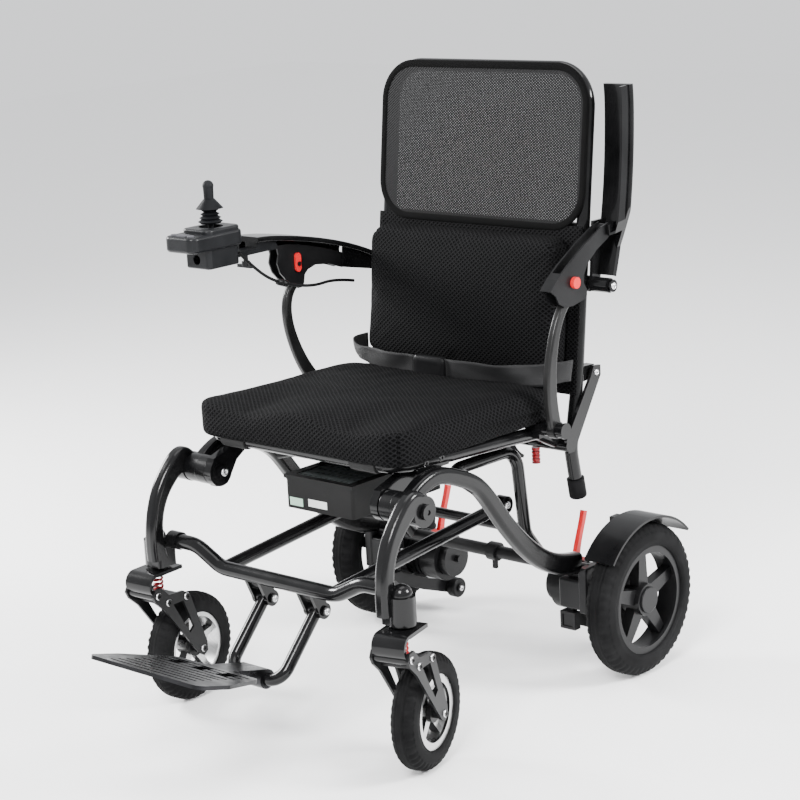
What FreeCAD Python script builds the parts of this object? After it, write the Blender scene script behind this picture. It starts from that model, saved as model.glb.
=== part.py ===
import FreeCAD, Part
import math
import os

os.makedirs("parts", exist_ok=True)

# Folding power wheelchair. Millimetres, +Z up, the chair faces -Y, its left side is +X.
# Heights are above the floor. Y is first laid out from a working origin and every piece is
# moved by Y_CENTRE when it is written, so the origin sits under the middle of the chair.

Y_CENTRE = 84.635

# Driving dimensions
REAR_X = 281.5            # rear wheel mid-plane
REAR_Y = 270.0            # rear axle
REAR_R = 128.0            # rear tyre radius
REAR_W = 48.0             # rear tyre width
REAR_RIM = 91.0           # rear rim radius
STEM_X = 263.5            # caster stem
STEM_Y = -288.5
CASTER_R = 90.0           # caster tyre radius
CASTER_W = 40.0
CASTER_RIM = 58.0
TRAIL = 56.5              # caster trail behind the stem
SWIVEL = {1: 14.0, -1: 4.0}   # how far each caster is turned at rest, degrees
SWING_U = -38.0           # swing arm pivot ahead of the stem
SWING_Z = 207.0
HINGE_Y = -222.0          # main folding hinge
HINGE_Z = 398.0
BACK_Y = 248.0            # backrest hinge
BACK_Z = 508.0
POST_X = 207.0            # backrest posts
ARM_X = 246.0             # arm pads
ARM_A = (248.0, 653.0)    # pad pivot
ARM_B = (112.0, 445.0)    # bow pivot
ARM_C = (159.5, 669.3)    # bracket pivot on a lowered pad
ARM_D = (44.7, 652.3)     # bow top on a lowered pad
FLIP = -83.7              # turn of a raised pad about +X, degrees
BOW_TURN = -37.0          # turn of the bow that goes with it
BRACKET_TURN = 43.7       # turn of the bracket that goes with it
FOOT_Y = -255.0           # footrest hinge
FOOT_Z = 220.0
FOOT_X = 56.0
FIT = 0.08                # radial running clearance
GAP = 0.4                 # air between pieces that do not touch

X = FreeCAD.Vector(1, 0, 0)
Y = FreeCAD.Vector(0, 1, 0)
Z = FreeCAD.Vector(0, 0, 1)


def vec(x, y, z):
    return FreeCAD.Vector(x, y, z)


def box(x0, x1, y0, y1, z0, z1):
    return Part.makeBox(x1 - x0, y1 - y0, z1 - z0, vec(x0, y0, z0))


def rod(radius, start, end):
    """Round bar between two points."""
    line = end - start
    return Part.makeCylinder(radius, line.Length, start, line)


def xrod(radius, x0, x1, y, z):
    return rod(radius, vec(x0, y, z), vec(x1, y, z))


def ring(outer, inner, x0, x1, y, z):
    return xrod(outer, x0, x1, y, z).cut(xrod(inner, x0 - 1, x1 + 1, y, z))


def soften(shape, radius, pick=None):
    """Round the edges that pick accepts; leave the shape as it is if that cannot be done."""
    edges = [e for e in shape.Edges if pick is None or pick(e)]
    try:
        rounded = shape.makeFillet(radius, edges)
        if rounded.isValid() and rounded.Volume > 0:
            return rounded
    except Exception:
        return shape
    return shape


def along_x(edge):
    ends = edge.Vertexes
    return len(ends) == 2 and abs(ends[0].Y - ends[1].Y) + abs(ends[0].Z - ends[1].Z) < 0.01


def along_y(edge):
    ends = edge.Vertexes
    return len(ends) == 2 and abs(ends[0].X - ends[1].X) + abs(ends[0].Z - ends[1].Z) < 0.01


def along_z(edge):
    ends = edge.Vertexes
    return len(ends) == 2 and abs(ends[0].X - ends[1].X) + abs(ends[0].Y - ends[1].Y) < 0.01


def wire_path(points, bend):
    """Polyline with its inner corners rounded to the bend radius."""
    edges = []
    start = points[0]
    for before, corner, after in zip(points, points[1:], points[2:]):
        into = (corner - before).normalize()
        out = (after - corner).normalize()
        half = into.getAngle(out) / 2
        if half < 0.01:
            continue
        trim = bend * math.tan(half)
        trim = min(trim, 0.46 * (corner - before).Length, 0.46 * (after - corner).Length)
        radius = trim / math.tan(half)
        first = corner - into * trim
        last = corner + out * trim
        inward = (out - into).normalize()
        centre = corner + inward * (radius / math.cos(half))
        middle = centre - inward * radius
        edges.append(Part.makeLine(start, first))
        edges.append(Part.Arc(first, middle, last).toShape())
        start = last
    edges.append(Part.makeLine(start, points[-1]))
    return Part.Wire(edges)


def tube(points, radius, bend):
    """Round bar swept along a bent path."""
    path = wire_path(points, bend)
    direction = points[1] - points[0]
    profile = Part.Wire([Part.makeCircle(radius, points[0], direction)])
    return path.makePipeShell([profile], True, True)


def prism(outline, x0, x1):
    """Outline of (y, z) points pushed along X."""
    corners = [vec(x0, y, z) for y, z in outline]
    face = Part.Face(Part.makePolygon(corners + corners[:1]))
    return face.extrude(vec(x1 - x0, 0, 0))


def ribbon(line, depths, x0, x1, radius):
    """Bent flat bar: a smooth (y, z) centre line with a depth at each point, pushed along X."""
    upper = []
    lower = []
    for i, (y, z) in enumerate(line):
        ya, za = line[max(i - 1, 0)]
        yb, zb = line[min(i + 1, len(line) - 1)]
        size = math.hypot(yb - ya, zb - za)
        ny = -(zb - za) / size
        nz = (yb - ya) / size
        half = depths[i] / 2
        upper.append(vec(x0, y + ny * half, z + nz * half))
        lower.append(vec(x0, y - ny * half, z - nz * half))
    top = Part.BSplineCurve()
    top.interpolate(upper)
    low = Part.BSplineCurve()
    low.interpolate(lower)
    edges = [top.toShape(), Part.makeLine(upper[-1], lower[-1])]
    edges += [low.toShape(), Part.makeLine(lower[0], upper[0])]
    face = Part.Face(Part.Wire(Part.__sortEdges__(edges)))
    bar = face.extrude(vec(x1 - x0, 0, 0))
    if radius > 0:
        bar = soften(bar, radius, lambda e: e.Length > 60 and not along_x(e))
    return bar


def mirrored(shape):
    return shape.mirror(vec(0, 0, 0), X)


def both(shape):
    return [shape, mirrored(shape)]


def turned(shape, point, degrees):
    """Copy turned about +X through a (y, z) point."""
    copy = shape.copy()
    copy.rotate(vec(0, point[0], point[1]), X, degrees)
    return copy


def socket_screw(x, y, z, out, radius=4.2):
    """Domed screw head with a hexagon socket, facing +X or -X."""
    head = xrod(radius, min(x, x + 3 * out), max(x, x + 3 * out), y, z)
    socket = xrod(radius * 0.45, min(x + out, x + 4 * out), max(x + out, x + 4 * out), y, z)
    return head.cut(socket)


NODES = {}


def add(name, solids):
    NODES[name] = solids if isinstance(solids, list) else [solids]


# ---------------------------------------------------------------- rear frame

RAIL_LINE = [(-222, 400), (-196, 419), (-160, 430), (-106, 417), (-62, 394), (-34, 365),
             (-3, 325), (34, 283), (75, 246), (118, 220), (150, 209), (182, 203)]
RAIL_DEPTH = [30, 27, 26, 26, 26, 27, 28, 30, 32, 34, 35, 35]
RAIL_ROUND = 8.0
RAIL_X0 = 209.0
RAIL_X1 = 233.0

rail = ribbon(RAIL_LINE, RAIL_DEPTH, RAIL_X0, RAIL_X1, RAIL_ROUND)
eye = xrod(23, RAIL_X0, RAIL_X1, HINGE_Y, HINGE_Z)
barrel = xrod(23.5, 186, RAIL_X0 + 1, HINGE_Y, HINGE_Z)
barrel = soften(barrel, 2.0)
rail = rail.fuse([eye, barrel]).removeSplitter()
rail = rail.cut(xrod(8, 150, 260, HINGE_Y, HINGE_Z))
add("side_rails", both(rail))

pin = xrod(8 - FIT, 168, 262, HINGE_Y, HINGE_Z)
pin_head = xrod(12, 262, 266, HINGE_Y, HINGE_Z).cut(xrod(4, 264, 270, HINGE_Y, HINGE_Z))
pin_nut = xrod(11, 164, 168, HINGE_Y, HINGE_Z)
add("hinge_pins", both(pin.fuse([pin_head, pin_nut])))

LOOP_X = 145.0
loop_path = [vec(216, -50, 382), vec(LOOP_X, -34, 398), vec(LOOP_X, 132, 396), vec(LOOP_X, 148, 250),
             vec(LOOP_X, 196, 190)]
loop = tube(loop_path, 10.5, 40).cut(rail)
cross = xrod(9, -LOOP_X, LOOP_X, 147, 256)
loops = loop.fuse([mirrored(loop), cross])
add("rear_loops", loops)

BEAM_Y = 200.0
MOTOR_R = 42.0
BEAM_Z = 186.0
beam = xrod(11, -232, 232, BEAM_Y, BEAM_Z)
clamp = ring(16, 11, 26, 44, BEAM_Y, BEAM_Z)
clamp = clamp.fuse(box(31, 39, BEAM_Y - 3, BEAM_Y + 3, BEAM_Z - 30, BEAM_Z - 14))
block = box(186, 232, BEAM_Y - 22, BEAM_Y + 18, 122, 172)
block = soften(block, 4.0)
neck = box(196, 226, BEAM_Y - 8, BEAM_Y + 8, 165, BEAM_Z)
socket = box(181, 211, BEAM_Y - 14, BEAM_Y + 1, 82, 112)
socket = socket.cut(box(185.5, 206.5, BEAM_Y - 20, BEAM_Y + 60, 86.5, 107.5))
strut = box(189, 203, BEAM_Y - 6, BEAM_Y + 8, 111, 124)
screws = [socket_screw(186, BEAM_Y + dy, 146, -1) for dy in (-14, 8)]
side = block.fuse([neck, socket, strut] + screws)
beam = beam.fuse([side, mirrored(side), clamp])
beam = beam.cut(loops)
for rail_side in both(rail):
    beam = beam.cut(rail_side)
add("rear_beam", beam)

motor = xrod(MOTOR_R, 128, 226, REAR_Y, REAR_R)
for x in (164, 174, 184, 194):
    motor = motor.cut(ring(MOTOR_R + 1, MOTOR_R - 2.5, x, x + 4, REAR_Y, REAR_R))
motor = motor.fuse(xrod(32, 112, 128, REAR_Y, REAR_R))
gearbox = xrod(54, 226, 246, REAR_Y, REAR_R)
gearbox = soften(gearbox, 3.0)
mount = box(228, 244, 176, 240, 118, 196)
mount = soften(mount, 3.0)
shaft = xrod(9, 246, 299, REAR_Y, REAR_R)
stub = xrod(6, 104, 112, REAR_Y, REAR_R)
drive = motor.fuse([gearbox, mount, shaft, stub])
drive = drive.cut(rail).cut(beam)
add("drive_units", both(drive))

inner_r = 138.0
fender_wall = 4.0
fender = ring(inner_r + fender_wall, inner_r, REAR_X - 28, REAR_X + 30, REAR_Y, REAR_R)
wedge = [(REAR_Y, REAR_R)]
for degrees in (-50, -25, 0, 25, 47):
    a = math.radians(degrees)
    wedge.append((REAR_Y + 260 * math.sin(a), REAR_R + 260 * math.cos(a)))
fender = fender.common(prism(wedge, REAR_X - 40, REAR_X + 40))
lip_front = ring(inner_r + fender_wall, inner_r - 8, REAR_X - 28, REAR_X - 25, REAR_Y, REAR_R)
lip_front = lip_front.common(prism(wedge, REAR_X - 40, REAR_X + 40))
tab = box(REAR_X - 38, REAR_X - 25, REAR_Y - 24, REAR_Y - 4, 176, REAR_R + inner_r + 2)
tab = tab.cut(xrod(54.2, 200, 260, REAR_Y, REAR_R))
fender = fender.fuse([lip_front, tab])
fender = fender.cut(drive)
add("fenders", both(fender))

TIP_Y = 343.0
TIP_Z = 42.0
TIP_X = 196.0
tip_arm = prism([(BEAM_Y - 12, 107), (BEAM_Y + 6, 107), (REAR_Y, 79), (TIP_Y + 3, 54), (TIP_Y + 3, 36),
                 (TIP_Y - 12, 34), (REAR_Y - 10, 60), (BEAM_Y + 2, 87), (BEAM_Y - 12, 87)],
                 TIP_X - 9.8, TIP_X + 9.8)
tip_bolt = xrod(5, TIP_X - 30, TIP_X + 7, TIP_Y - 4, 44).fuse(xrod(8, TIP_X - 32, TIP_X - 30, TIP_Y - 4, 44))
tip_arm = tip_arm.fuse(tip_bolt)
add("tip_arms", both(tip_arm))
roller = ring(18, 5 + FIT, TIP_X - 29, TIP_X - 10.6, TIP_Y - 4, 44)
roller = soften(roller, 3.0, lambda e: e.BoundBox.ZLength > 30)
add("tip_roller_left", roller)
add("tip_roller_right", mirrored(roller))

CLUTCH_X = 150.0
yoke = ring(MOTOR_R + 6, MOTOR_R + GAP, CLUTCH_X - 8, CLUTCH_X + 8, REAR_Y, REAR_R)
yoke = yoke.common(prism([(REAR_Y - 46, REAR_R + 60), (REAR_Y - 36, REAR_R + 34), (REAR_Y + 36, REAR_R + 34),
                          (REAR_Y + 46, REAR_R + 60)], CLUTCH_X - 20, CLUTCH_X + 20))
lever_line = [(REAR_Y + 4, 171), (REAR_Y + 10, 196), (REAR_Y + 20, 222), (REAR_Y + 30, 250)]
lever = ribbon(lever_line, [15, 12, 11, 12], CLUTCH_X - 4, CLUTCH_X + 4, 1.5)
lever = lever.cut(xrod(MOTOR_R + GAP, 100, 200, REAR_Y, REAR_R))
clutch = yoke.fuse(lever)
add("clutch_lever_left", clutch)
add("clutch_lever_right", mirrored(clutch))


def wheel_ring(radius, width, rim, x):
    """Tyre with a rounded section, turned about the X axis line through y = z = 0."""
    half = width / 2
    shoulder = (radius - rim) * 0.42
    points = [(rim, -half * 0.62), (rim + shoulder * 0.6, -half), (radius - shoulder, -half * 0.97),
              (radius - shoulder * 0.3, -half * 0.68), (radius, -half * 0.2), (radius, half * 0.2),
              (radius - shoulder * 0.3, half * 0.68), (radius - shoulder, half * 0.97),
              (rim + shoulder * 0.6, half), (rim, half * 0.62)]
    corners = [vec(x + w, r, 0) for r, w in points]
    face = Part.Face(Part.makePolygon(corners + corners[:1]))
    return face.revolve(vec(0, 0, 0), X, 360)


def spoked_rim(rim, width, hub, bore, spokes, x, spoke_w, face_out):
    """Rim band, hub and spokes about the X axis line through y = z = 0."""
    half = width / 2
    band = ring(rim - GAP, rim - 7, x - half, x + half, 0, 0)
    lip_low, lip_high = (half * 0.72, half) if face_out > 0 else (-half, -half * 0.72)
    lip = ring(rim - GAP, rim - 12, x + lip_low, x + lip_high, 0, 0)
    middle = xrod(hub, x - half * 0.9, x + half * 0.9, 0, 0)
    pieces = [lip, middle]
    for i in range(spokes):
        arm = prism([(-spoke_w / 2, hub - 3), (spoke_w / 2, hub - 3), (spoke_w * 0.32, rim - 5),
                     (-spoke_w * 0.32, rim - 5)], x - half * 0.45, x + half * 0.45)
        arm.rotate(vec(0, 0, 0), X, 360.0 * i / spokes)
        pieces.append(arm)
    wheel = band.fuse(pieces)
    return wheel.cut(xrod(bore, x - 100, x + 100, 0, 0))


def placed(shape, y, z):
    copy = shape.copy()
    copy.translate(vec(0, y, z))
    return copy


rear_tyre = wheel_ring(REAR_R, REAR_W, REAR_RIM, REAR_X)
rear_rim = spoked_rim(REAR_RIM, 40, 27, 9 + FIT, 5, REAR_X, 26, 1)
cap = xrod(22, REAR_X + 18, REAR_X + 21.5, 0, 0)
cap = soften(cap, 1.5, lambda e: e.BoundBox.XMin > REAR_X + 21)
rear_rim = rear_rim.fuse(cap)
rear_tyre = placed(rear_tyre, REAR_Y, REAR_R)
rear_rim = placed(rear_rim, REAR_Y, REAR_R)
add("rear_tyre_left", rear_tyre)
add("rear_tyre_right", mirrored(rear_tyre))
add("rear_wheel_left", rear_rim)
add("rear_wheel_right", mirrored(rear_rim))

# --------------------------------------------------------------- front frame

LEG_X0 = RAIL_X1 + 2.5
LEG_X1 = 259.0
LEG_LINE = [(-222, 398), (-240, 412), (-264, 396), (-289, 365), (-302, 332), (-306, 300), (-302, 262)]
LEG_DEPTH = [40, 40, 32, 27, 25, 27, 34]
leg = ribbon(LEG_LINE, LEG_DEPTH, LEG_X0, LEG_X1, RAIL_ROUND)
leg_eye = xrod(24, LEG_X0, LEG_X1, HINGE_Y, HINGE_Z)
housing = rod(21, vec(STEM_X, STEM_Y, 246), vec(STEM_X, STEM_Y, 290))
web = box(LEG_X0 + 2, STEM_X, STEM_Y - 20, STEM_Y + 18, 247, 290)
web = soften(web, 5.0, along_z)
dome = Part.makeSphere(16.5, vec(STEM_X, STEM_Y, 291))
leg = leg.fuse([leg_eye, housing, web, dome])
leg = leg.cut(xrod(8, 150, 300, HINGE_Y, HINGE_Z))
leg = leg.cut(rod(9, vec(STEM_X, STEM_Y, 200), vec(STEM_X, STEM_Y, 282)))
bar_path = [vec(-240, STEM_Y + 10, 290), vec(-178, STEM_Y + 9, 290), vec(-124, STEM_Y + 9, 262),
            vec(124, STEM_Y + 9, 262), vec(178, STEM_Y + 9, 290), vec(240, STEM_Y + 10, 290)]
crossbar = tube(bar_path, 12, 60)
collar = xrod(14.5, 216, LEG_X0 + 3, STEM_Y + 10, 290)
crossbar = crossbar.fuse(both(collar))
for x in (-FOOT_X, FOOT_X):
    for side_x in (x - 17, x + 11):
        ear = xrod(13, side_x, side_x + 6, FOOT_Y, FOOT_Z)
        web_ear = prism([(FOOT_Y - 13, FOOT_Z), (FOOT_Y + 13, FOOT_Z),
                         (STEM_Y + 20, 262), (STEM_Y + 2, 262)], side_x, side_x + 6)
        crossbar = crossbar.fuse([ear, web_ear])
    crossbar = crossbar.cut(xrod(5, x - 30, x + 30, FOOT_Y, FOOT_Z))
for leg_side in both(leg):
    crossbar = crossbar.cut(leg_side)
add("front_legs", both(leg))

RAIL_IN = 117.0
lower = rod(11, vec(RAIL_IN, STEM_Y + 12, 263), vec(RAIL_IN, 118, 298))
eye_p = xrod(15, RAIL_IN - 9, RAIL_IN + 9, 128, 299).cut(xrod(6, 0, 200, 128, 299))
lower = lower.fuse(eye_p)
lower = lower.cut(xrod(6, 0, 200, 128, 299))
lowers = [part.cut(crossbar) for part in both(lower)]
add("lower_rails", lowers)

foot_path = [vec(-FOOT_X, FOOT_Y, FOOT_Z), vec(-FOOT_X, -343, 128),
             vec(FOOT_X, -343, 128), vec(FOOT_X, FOOT_Y, FOOT_Z)]
foot = tube(foot_path, 10, 26)
for x in (-FOOT_X, FOOT_X):
    foot = foot.fuse(xrod(11, x - 10.6, x + 10.6, FOOT_Y, FOOT_Z))
    foot = foot.cut(xrod(5 + FIT, x - 40, x + 40, FOOT_Y, FOOT_Z))
add("foot_tube", foot)
for x in (-FOOT_X, FOOT_X):
    bolt = xrod(5, x - 19, x + 19, FOOT_Y, FOOT_Z)
    bolt = bolt.fuse([xrod(8, x + 17, x + 21, FOOT_Y, FOOT_Z), xrod(8, x - 21, x - 17, FOOT_Y, FOOT_Z)])
    crossbar = crossbar.fuse(bolt.cut(xrod(3.5, x + 19.5, x + 22, FOOT_Y, FOOT_Z)))
add("front_crossbar", crossbar)

PLATE_TILT = 16.3
PLATE_FRONT = 120.0       # half width of the front edge
PLATE_REAR = 88.0
PLATE_OUT = 236.0         # front edge ahead of the clip
PLATE_IN = 82.0
outline = [vec(-PLATE_REAR, -PLATE_IN, 8), vec(-PLATE_FRONT, -PLATE_OUT + 62, 8),
           vec(-PLATE_FRONT, -PLATE_OUT, 8), vec(PLATE_FRONT, -PLATE_OUT, 8),
           vec(PLATE_FRONT, -PLATE_OUT + 62, 8), vec(PLATE_REAR, -PLATE_IN, 8)]
plate = Part.Face(Part.makePolygon(outline + outline[:1])).extrude(vec(0, 0, 6))
plate = soften(plate, 14.0, along_z)
for i in range(9):
    y = -PLATE_OUT + 14 + 15.5 * i
    plate = plate.cut(box(-84, 84, y - 2.2, y + 2.2, 12.4, 16))
for x in (-52, 0, 52):
    plate = plate.cut(box(x - 12, x + 12, -PLATE_IN - 46, -PLATE_IN - 16, 0, 20))
clip_bore = xrod(10 + FIT, -50, 50, 0, 0)
clip = xrod(15.5, -28, 28, 0, 0)
strap_top = prism([(-PLATE_IN - 2, 7.4), (-PLATE_IN - 2, 13), (0, 15.4), (12, 9), (-6, 6)], -28, 28)
arms_out = prism([(-PLATE_IN - 40, 8), (-PLATE_IN - 40, 2),
                  (-PLATE_IN + 14, 2), (-PLATE_IN + 24, 8)], -46, 46)
plate = plate.fuse([clip, strap_top, arms_out])
plate = plate.cut(clip_bore)
plate.rotate(vec(0, 0, 0), X, -PLATE_TILT)
plate.translate(vec(0, -343, 128))
add("foot_plate", plate)

# ------------------------------------------------------------------- casters


def caster(side):
    """Fork, spring, swing arm, tyre and rim for one side, built straight and turned to rest."""
    sx = side * STEM_X
    top = box(sx - 27, sx + 27, STEM_Y - 30, STEM_Y + 26, 236, 242)
    curl = ring(19, 14, sx - 27, sx + 27, STEM_Y - 32, 223)
    curl = curl.cut(box(sx - 40, sx + 40, STEM_Y - 32, STEM_Y, 190, 236))
    lug = box(sx - 27, sx + 27, STEM_Y - 44, STEM_Y - 32, 203, 209)
    stem = rod(9 - FIT, vec(sx, STEM_Y, 240), vec(sx, STEM_Y, 281))
    knuckle = xrod(8, sx - 27, sx + 27, STEM_Y + SWING_U, SWING_Z)
    fork = top.fuse([curl, lug, stem, knuckle])
    fork = fork.cut(xrod(4.5, sx - 60, sx + 60, STEM_Y + SWING_U, SWING_Z))
    coil = rod(9, vec(sx, STEM_Y - 4, 199.5), vec(sx, STEM_Y - 4, 235.6))
    outline = [(-50, 208), (-44, 218), (-30, 219), (-14, 203), (20, 200), (34, 190), (66, 100), (66, 84),
               (56, 78), (46, 84), (-24, 178), (-44, 196)]
    window = [(-6, 184), (18, 184), (38, 134), (28, 126)]
    plates = []
    for x0 in (sx - 32, sx + 27 + GAP):
        cheek = prism([(STEM_Y + u, z) for u, z in outline], x0, x0 + 4.6)
        plates.append(cheek.cut(prism([(STEM_Y + u, z) for u, z in window], x0 - 1, x0 + 6)))
    pieces = [xrod(4.5 - FIT, sx - 33, sx + 33, STEM_Y + SWING_U, SWING_Z),
              xrod(6, sx - 28, sx + 28, STEM_Y - 16, 190),
              box(sx - 28, sx + 28, STEM_Y - 16, STEM_Y + 12, 194, 199),
              xrod(6, sx - 28, sx + 28, STEM_Y + TRAIL, CASTER_R)]
    for u, z in ((SWING_U, SWING_Z), (-16, 190), (26, 189), (TRAIL, CASTER_R)):
        pieces.append(socket_screw(sx + 32, STEM_Y + u, z, 1, 5.0))
        pieces.append(socket_screw(sx - 32, STEM_Y + u, z, -1, 5.0))
    swing = plates[0].fuse(plates[1:] + pieces)
    tyre = placed(wheel_ring(CASTER_R, CASTER_W, CASTER_RIM, sx), STEM_Y + TRAIL, CASTER_R)
    rim = spoked_rim(CASTER_RIM, 34, 16, 6 + FIT, 5, sx, 14, side)
    rim = placed(rim, STEM_Y + TRAIL, CASTER_R)
    rim = rim.fuse(ring(9, 6 + FIT, sx - 26.5, sx + 26.5, STEM_Y + TRAIL, CASTER_R))
    made = {"caster_fork": fork, "caster_spring": coil, "swing_arm": swing,
            "front_tyre": tyre, "front_rim": rim}
    for shape in made.values():
        shape.rotate(vec(sx, STEM_Y, 0), Z, SWIVEL[side])
    return made


for label, side in (("left", 1), ("right", -1)):
    for name, shape in caster(side).items():
        add(name + "_" + label, shape)

# ---------------------------------------------------------------------- seat

SEAT_X = 198.0
frame_path = [vec(SEAT_X, 178, 403), vec(SEAT_X, 120, 432), vec(SEAT_X, -212, 454), vec(-SEAT_X, -212, 454),
              vec(-SEAT_X, 120, 432), vec(-SEAT_X, 178, 403)]
seat_tube = tube(frame_path, 11, 38)
rear_bar = xrod(11, -225, 225, 174, 402)
bow_base = box(SEAT_X - 4, 222, ARM_B[0] - 14, ARM_B[0] + 14, 430, 454)
bow_mount = xrod(9 - FIT, 210, 262, ARM_B[0], ARM_B[1])
bow_mount = bow_mount.fuse([bow_base, xrod(13, 262, 265, ARM_B[0], ARM_B[1])])
seat_frame = seat_tube.fuse([rear_bar, bow_mount, mirrored(bow_mount)])

link_out = [(HINGE_Y - 24, HINGE_Z - 4), (HINGE_Y - 14, HINGE_Z + 24), (-190, 436), (-178, 458), (-102, 456),
            (-100, 436), (-150, 432), (-186, 410), (HINGE_Y + 24, HINGE_Z - 6), (HINGE_Y + 12, HINGE_Z - 22),
            (HINGE_Y - 12, HINGE_Z - 22)]
link = prism(link_out, 171, 185)
link = link.fuse(xrod(24, 171, 185, HINGE_Y, HINGE_Z))
link = link.cut(xrod(8, 100, 300, HINGE_Y, HINGE_Z))
shelf = box(184, 207, -176, -104, 436, 458)
link = link.fuse([shelf, socket_screw(207, -158, 450, 1, 5.0), socket_screw(207, -122, 450, 1, 5.0)])
link = link.cut(seat_frame)
plate_out = [(168, 390), (184, 390), (BACK_Y + 12, BACK_Z - 6), (BACK_Y + 12, BACK_Z + 10),
             (BACK_Y - 6, BACK_Z + 12), (BACK_Y - 14, BACK_Z - 4), (164, 412)]
ear = prism(plate_out, 220, 225)
ear = ear.fuse(xrod(6 - FIT, 196, 222, BACK_Y, BACK_Z))
ear = ear.fuse(xrod(9, 194, 196 - GAP, BACK_Y, BACK_Z)).fuse(xrod(6 - FIT, 195, 198, BACK_Y, BACK_Z))
ear = ear.cut(seat_frame)
add("seat_links", both(link) + both(ear))

cushion = box(-222, 222, -232, 176, 454, 512)
cushion = soften(cushion, 40.0, along_z)
cushion = soften(cushion, 12.0, lambda e: not along_z(e))
cushion.rotate(vec(0, -226, 466), X, -2.0)
for side_x in (-1, 1):
    low, high = sorted((side_x * 170, side_x * 226))
    cushion = cushion.cut(box(low, high, -184, -98, 420, 459))
    cushion = cushion.cut(box(low, high, ARM_B[0] - 15, ARM_B[0] + 15, 420, 460))
cushion = cushion.cut(tube(frame_path, 11.4, 38)).Solids[0]
add("seat_cushion", cushion)

case = box(-72, 72, -178, 30, 344, 392)
case = soften(case, 5.0, along_z)
lid = box(-73.5, 73.5, -180, 32, 392 + GAP, 398)
lid = lid.cut(box(-58, 58, -168, 10, 396.6, 400))
for i in range(9):
    lid = lid.fuse(box(-56, 56, -162 + 19 * i, -158 + 19 * i, 396, 397.6))
add("battery_pack", [case, lid])
for y in (-88, -22):
    strap = box(-SEAT_X + 8, SEAT_X - 8, y - 8, y + 8, 437, 441)
    for x in (-79, 79):
        strap = strap.fuse(box(x - 3, x + 3, y - 8, y + 8, 398.4, 437))
    strap = strap.fuse(box(-82, 82, y - 8, y + 8, 398.4, 401.4))
    seat_frame = seat_frame.fuse(strap)

BUMPER_X = 150.0
bumper = rod(7, vec(BUMPER_X, 178, 362), vec(BUMPER_X, 178, 388.6))
for z in (364, 370, 376, 382):
    groove = Part.makeCylinder(9, 2.4, vec(BUMPER_X, 178, z))
    groove = groove.cut(Part.makeCylinder(5.4, 2.4, vec(BUMPER_X, 178, z)))
    bumper = bumper.cut(groove)
add("seat_bumper", bumper)

LATCH_Y = 138.0
LATCH_Z = 421.0
fin = ribbon([(LATCH_Y - 2, LATCH_Z), (LATCH_Y + 3, LATCH_Z - 18), (LATCH_Y + 13, LATCH_Z - 34),
              (LATCH_Y + 36, LATCH_Z - 50)], [16, 14, 12, 5], 96, 128, 0)
fin = fin.fuse(xrod(9, 96, 128, LATCH_Y, LATCH_Z))
fin = fin.cut(xrod(4 + FIT, 60, 160, LATCH_Y, LATCH_Z))
add("latch_lever", fin)
latch_bolt = xrod(4, 88, 136, LATCH_Y, LATCH_Z)
latch_ears = box(88, 94, LATCH_Y - 9, LATCH_Y + 9, LATCH_Z - 9, 441)
latch_ears = latch_ears.fuse(box(130, 136, LATCH_Y - 9, LATCH_Y + 9, LATCH_Z - 9, 441))
latch_tie = box(88, SEAT_X - 6, LATCH_Y - 9, LATCH_Y + 9, 434, 441)
seat_frame = seat_frame.fuse([latch_bolt, latch_ears, latch_tie])
add("seat_frame", seat_frame)

# ------------------------------------------------------------------ backrest


def back_y(z):
    """Y of the backrest post line at a height."""
    return 254 + (z - 775) * 0.127


TOP_Z = 992.0
post_path = [vec(-POST_X, 208, 330), vec(-POST_X, 197, 388), vec(-POST_X, back_y(470), 470),
             vec(-POST_X, back_y(TOP_Z), TOP_Z), vec(POST_X, back_y(TOP_Z), TOP_Z),
             vec(POST_X, back_y(470), 470),
             vec(POST_X, 197, 388), vec(POST_X, 208, 330)]
frame = tube(post_path, 11, 62)
lug = prism([(back_y(BACK_Z) - 2, BACK_Z - 13), (BACK_Y + 8, BACK_Z - 11),
                 (BACK_Y + 11, BACK_Z), (BACK_Y + 8, BACK_Z + 11),
             (back_y(BACK_Z) - 2, BACK_Z + 13)], POST_X - 8, POST_X + 8)
arm_boss = xrod(13, POST_X - 6, 219, ARM_A[0], ARM_A[1])
arm_pin = xrod(7 - FIT, POST_X, 262, ARM_A[0], ARM_A[1])
arm_pin = arm_pin.fuse(xrod(10, 262 + GAP, 265, ARM_A[0], ARM_A[1]))
arm_pin = arm_pin.fuse(xrod(7 - FIT, 260, 264, ARM_A[0], ARM_A[1]))
low_bar = xrod(8, -POST_X, POST_X, back_y(540), 540)
mid_bar = xrod(8, -POST_X, POST_X, back_y(742), 742)
frame = frame.fuse([low_bar, mid_bar] + both(lug) + both(arm_boss) + both(arm_pin))
frame = frame.cut(xrod(6, 150, 240, BACK_Y, BACK_Z)).cut(xrod(6, -240, -150, BACK_Y, BACK_Z))
add("back_frame", frame)

caps = []
for x in (POST_X, -POST_X):
    axis = vec(0, 11, -58).normalize()
    tip = vec(x, 208, 330)
    cap_body = rod(14.5, tip - axis * 8, tip + axis * 26)
    cap_body = soften(cap_body, 4.0, lambda e: e.BoundBox.ZMax < 320)
    caps.append(cap_body.cut(frame))
add("post_caps", caps)


def back_panel(x, z0, z1, front, thick, corner):
    """Flat panel that leans with the posts; front is its face's distance ahead of the post line."""
    slab = box(-x, x, -front, -front + thick, 0, z1 - z0)
    slab = soften(slab, corner, along_y)
    slab.rotate(vec(0, 0, 0), X, -math.degrees(math.atan(0.127)))
    slab.translate(vec(0, back_y(z0), z0))
    return slab


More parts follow.
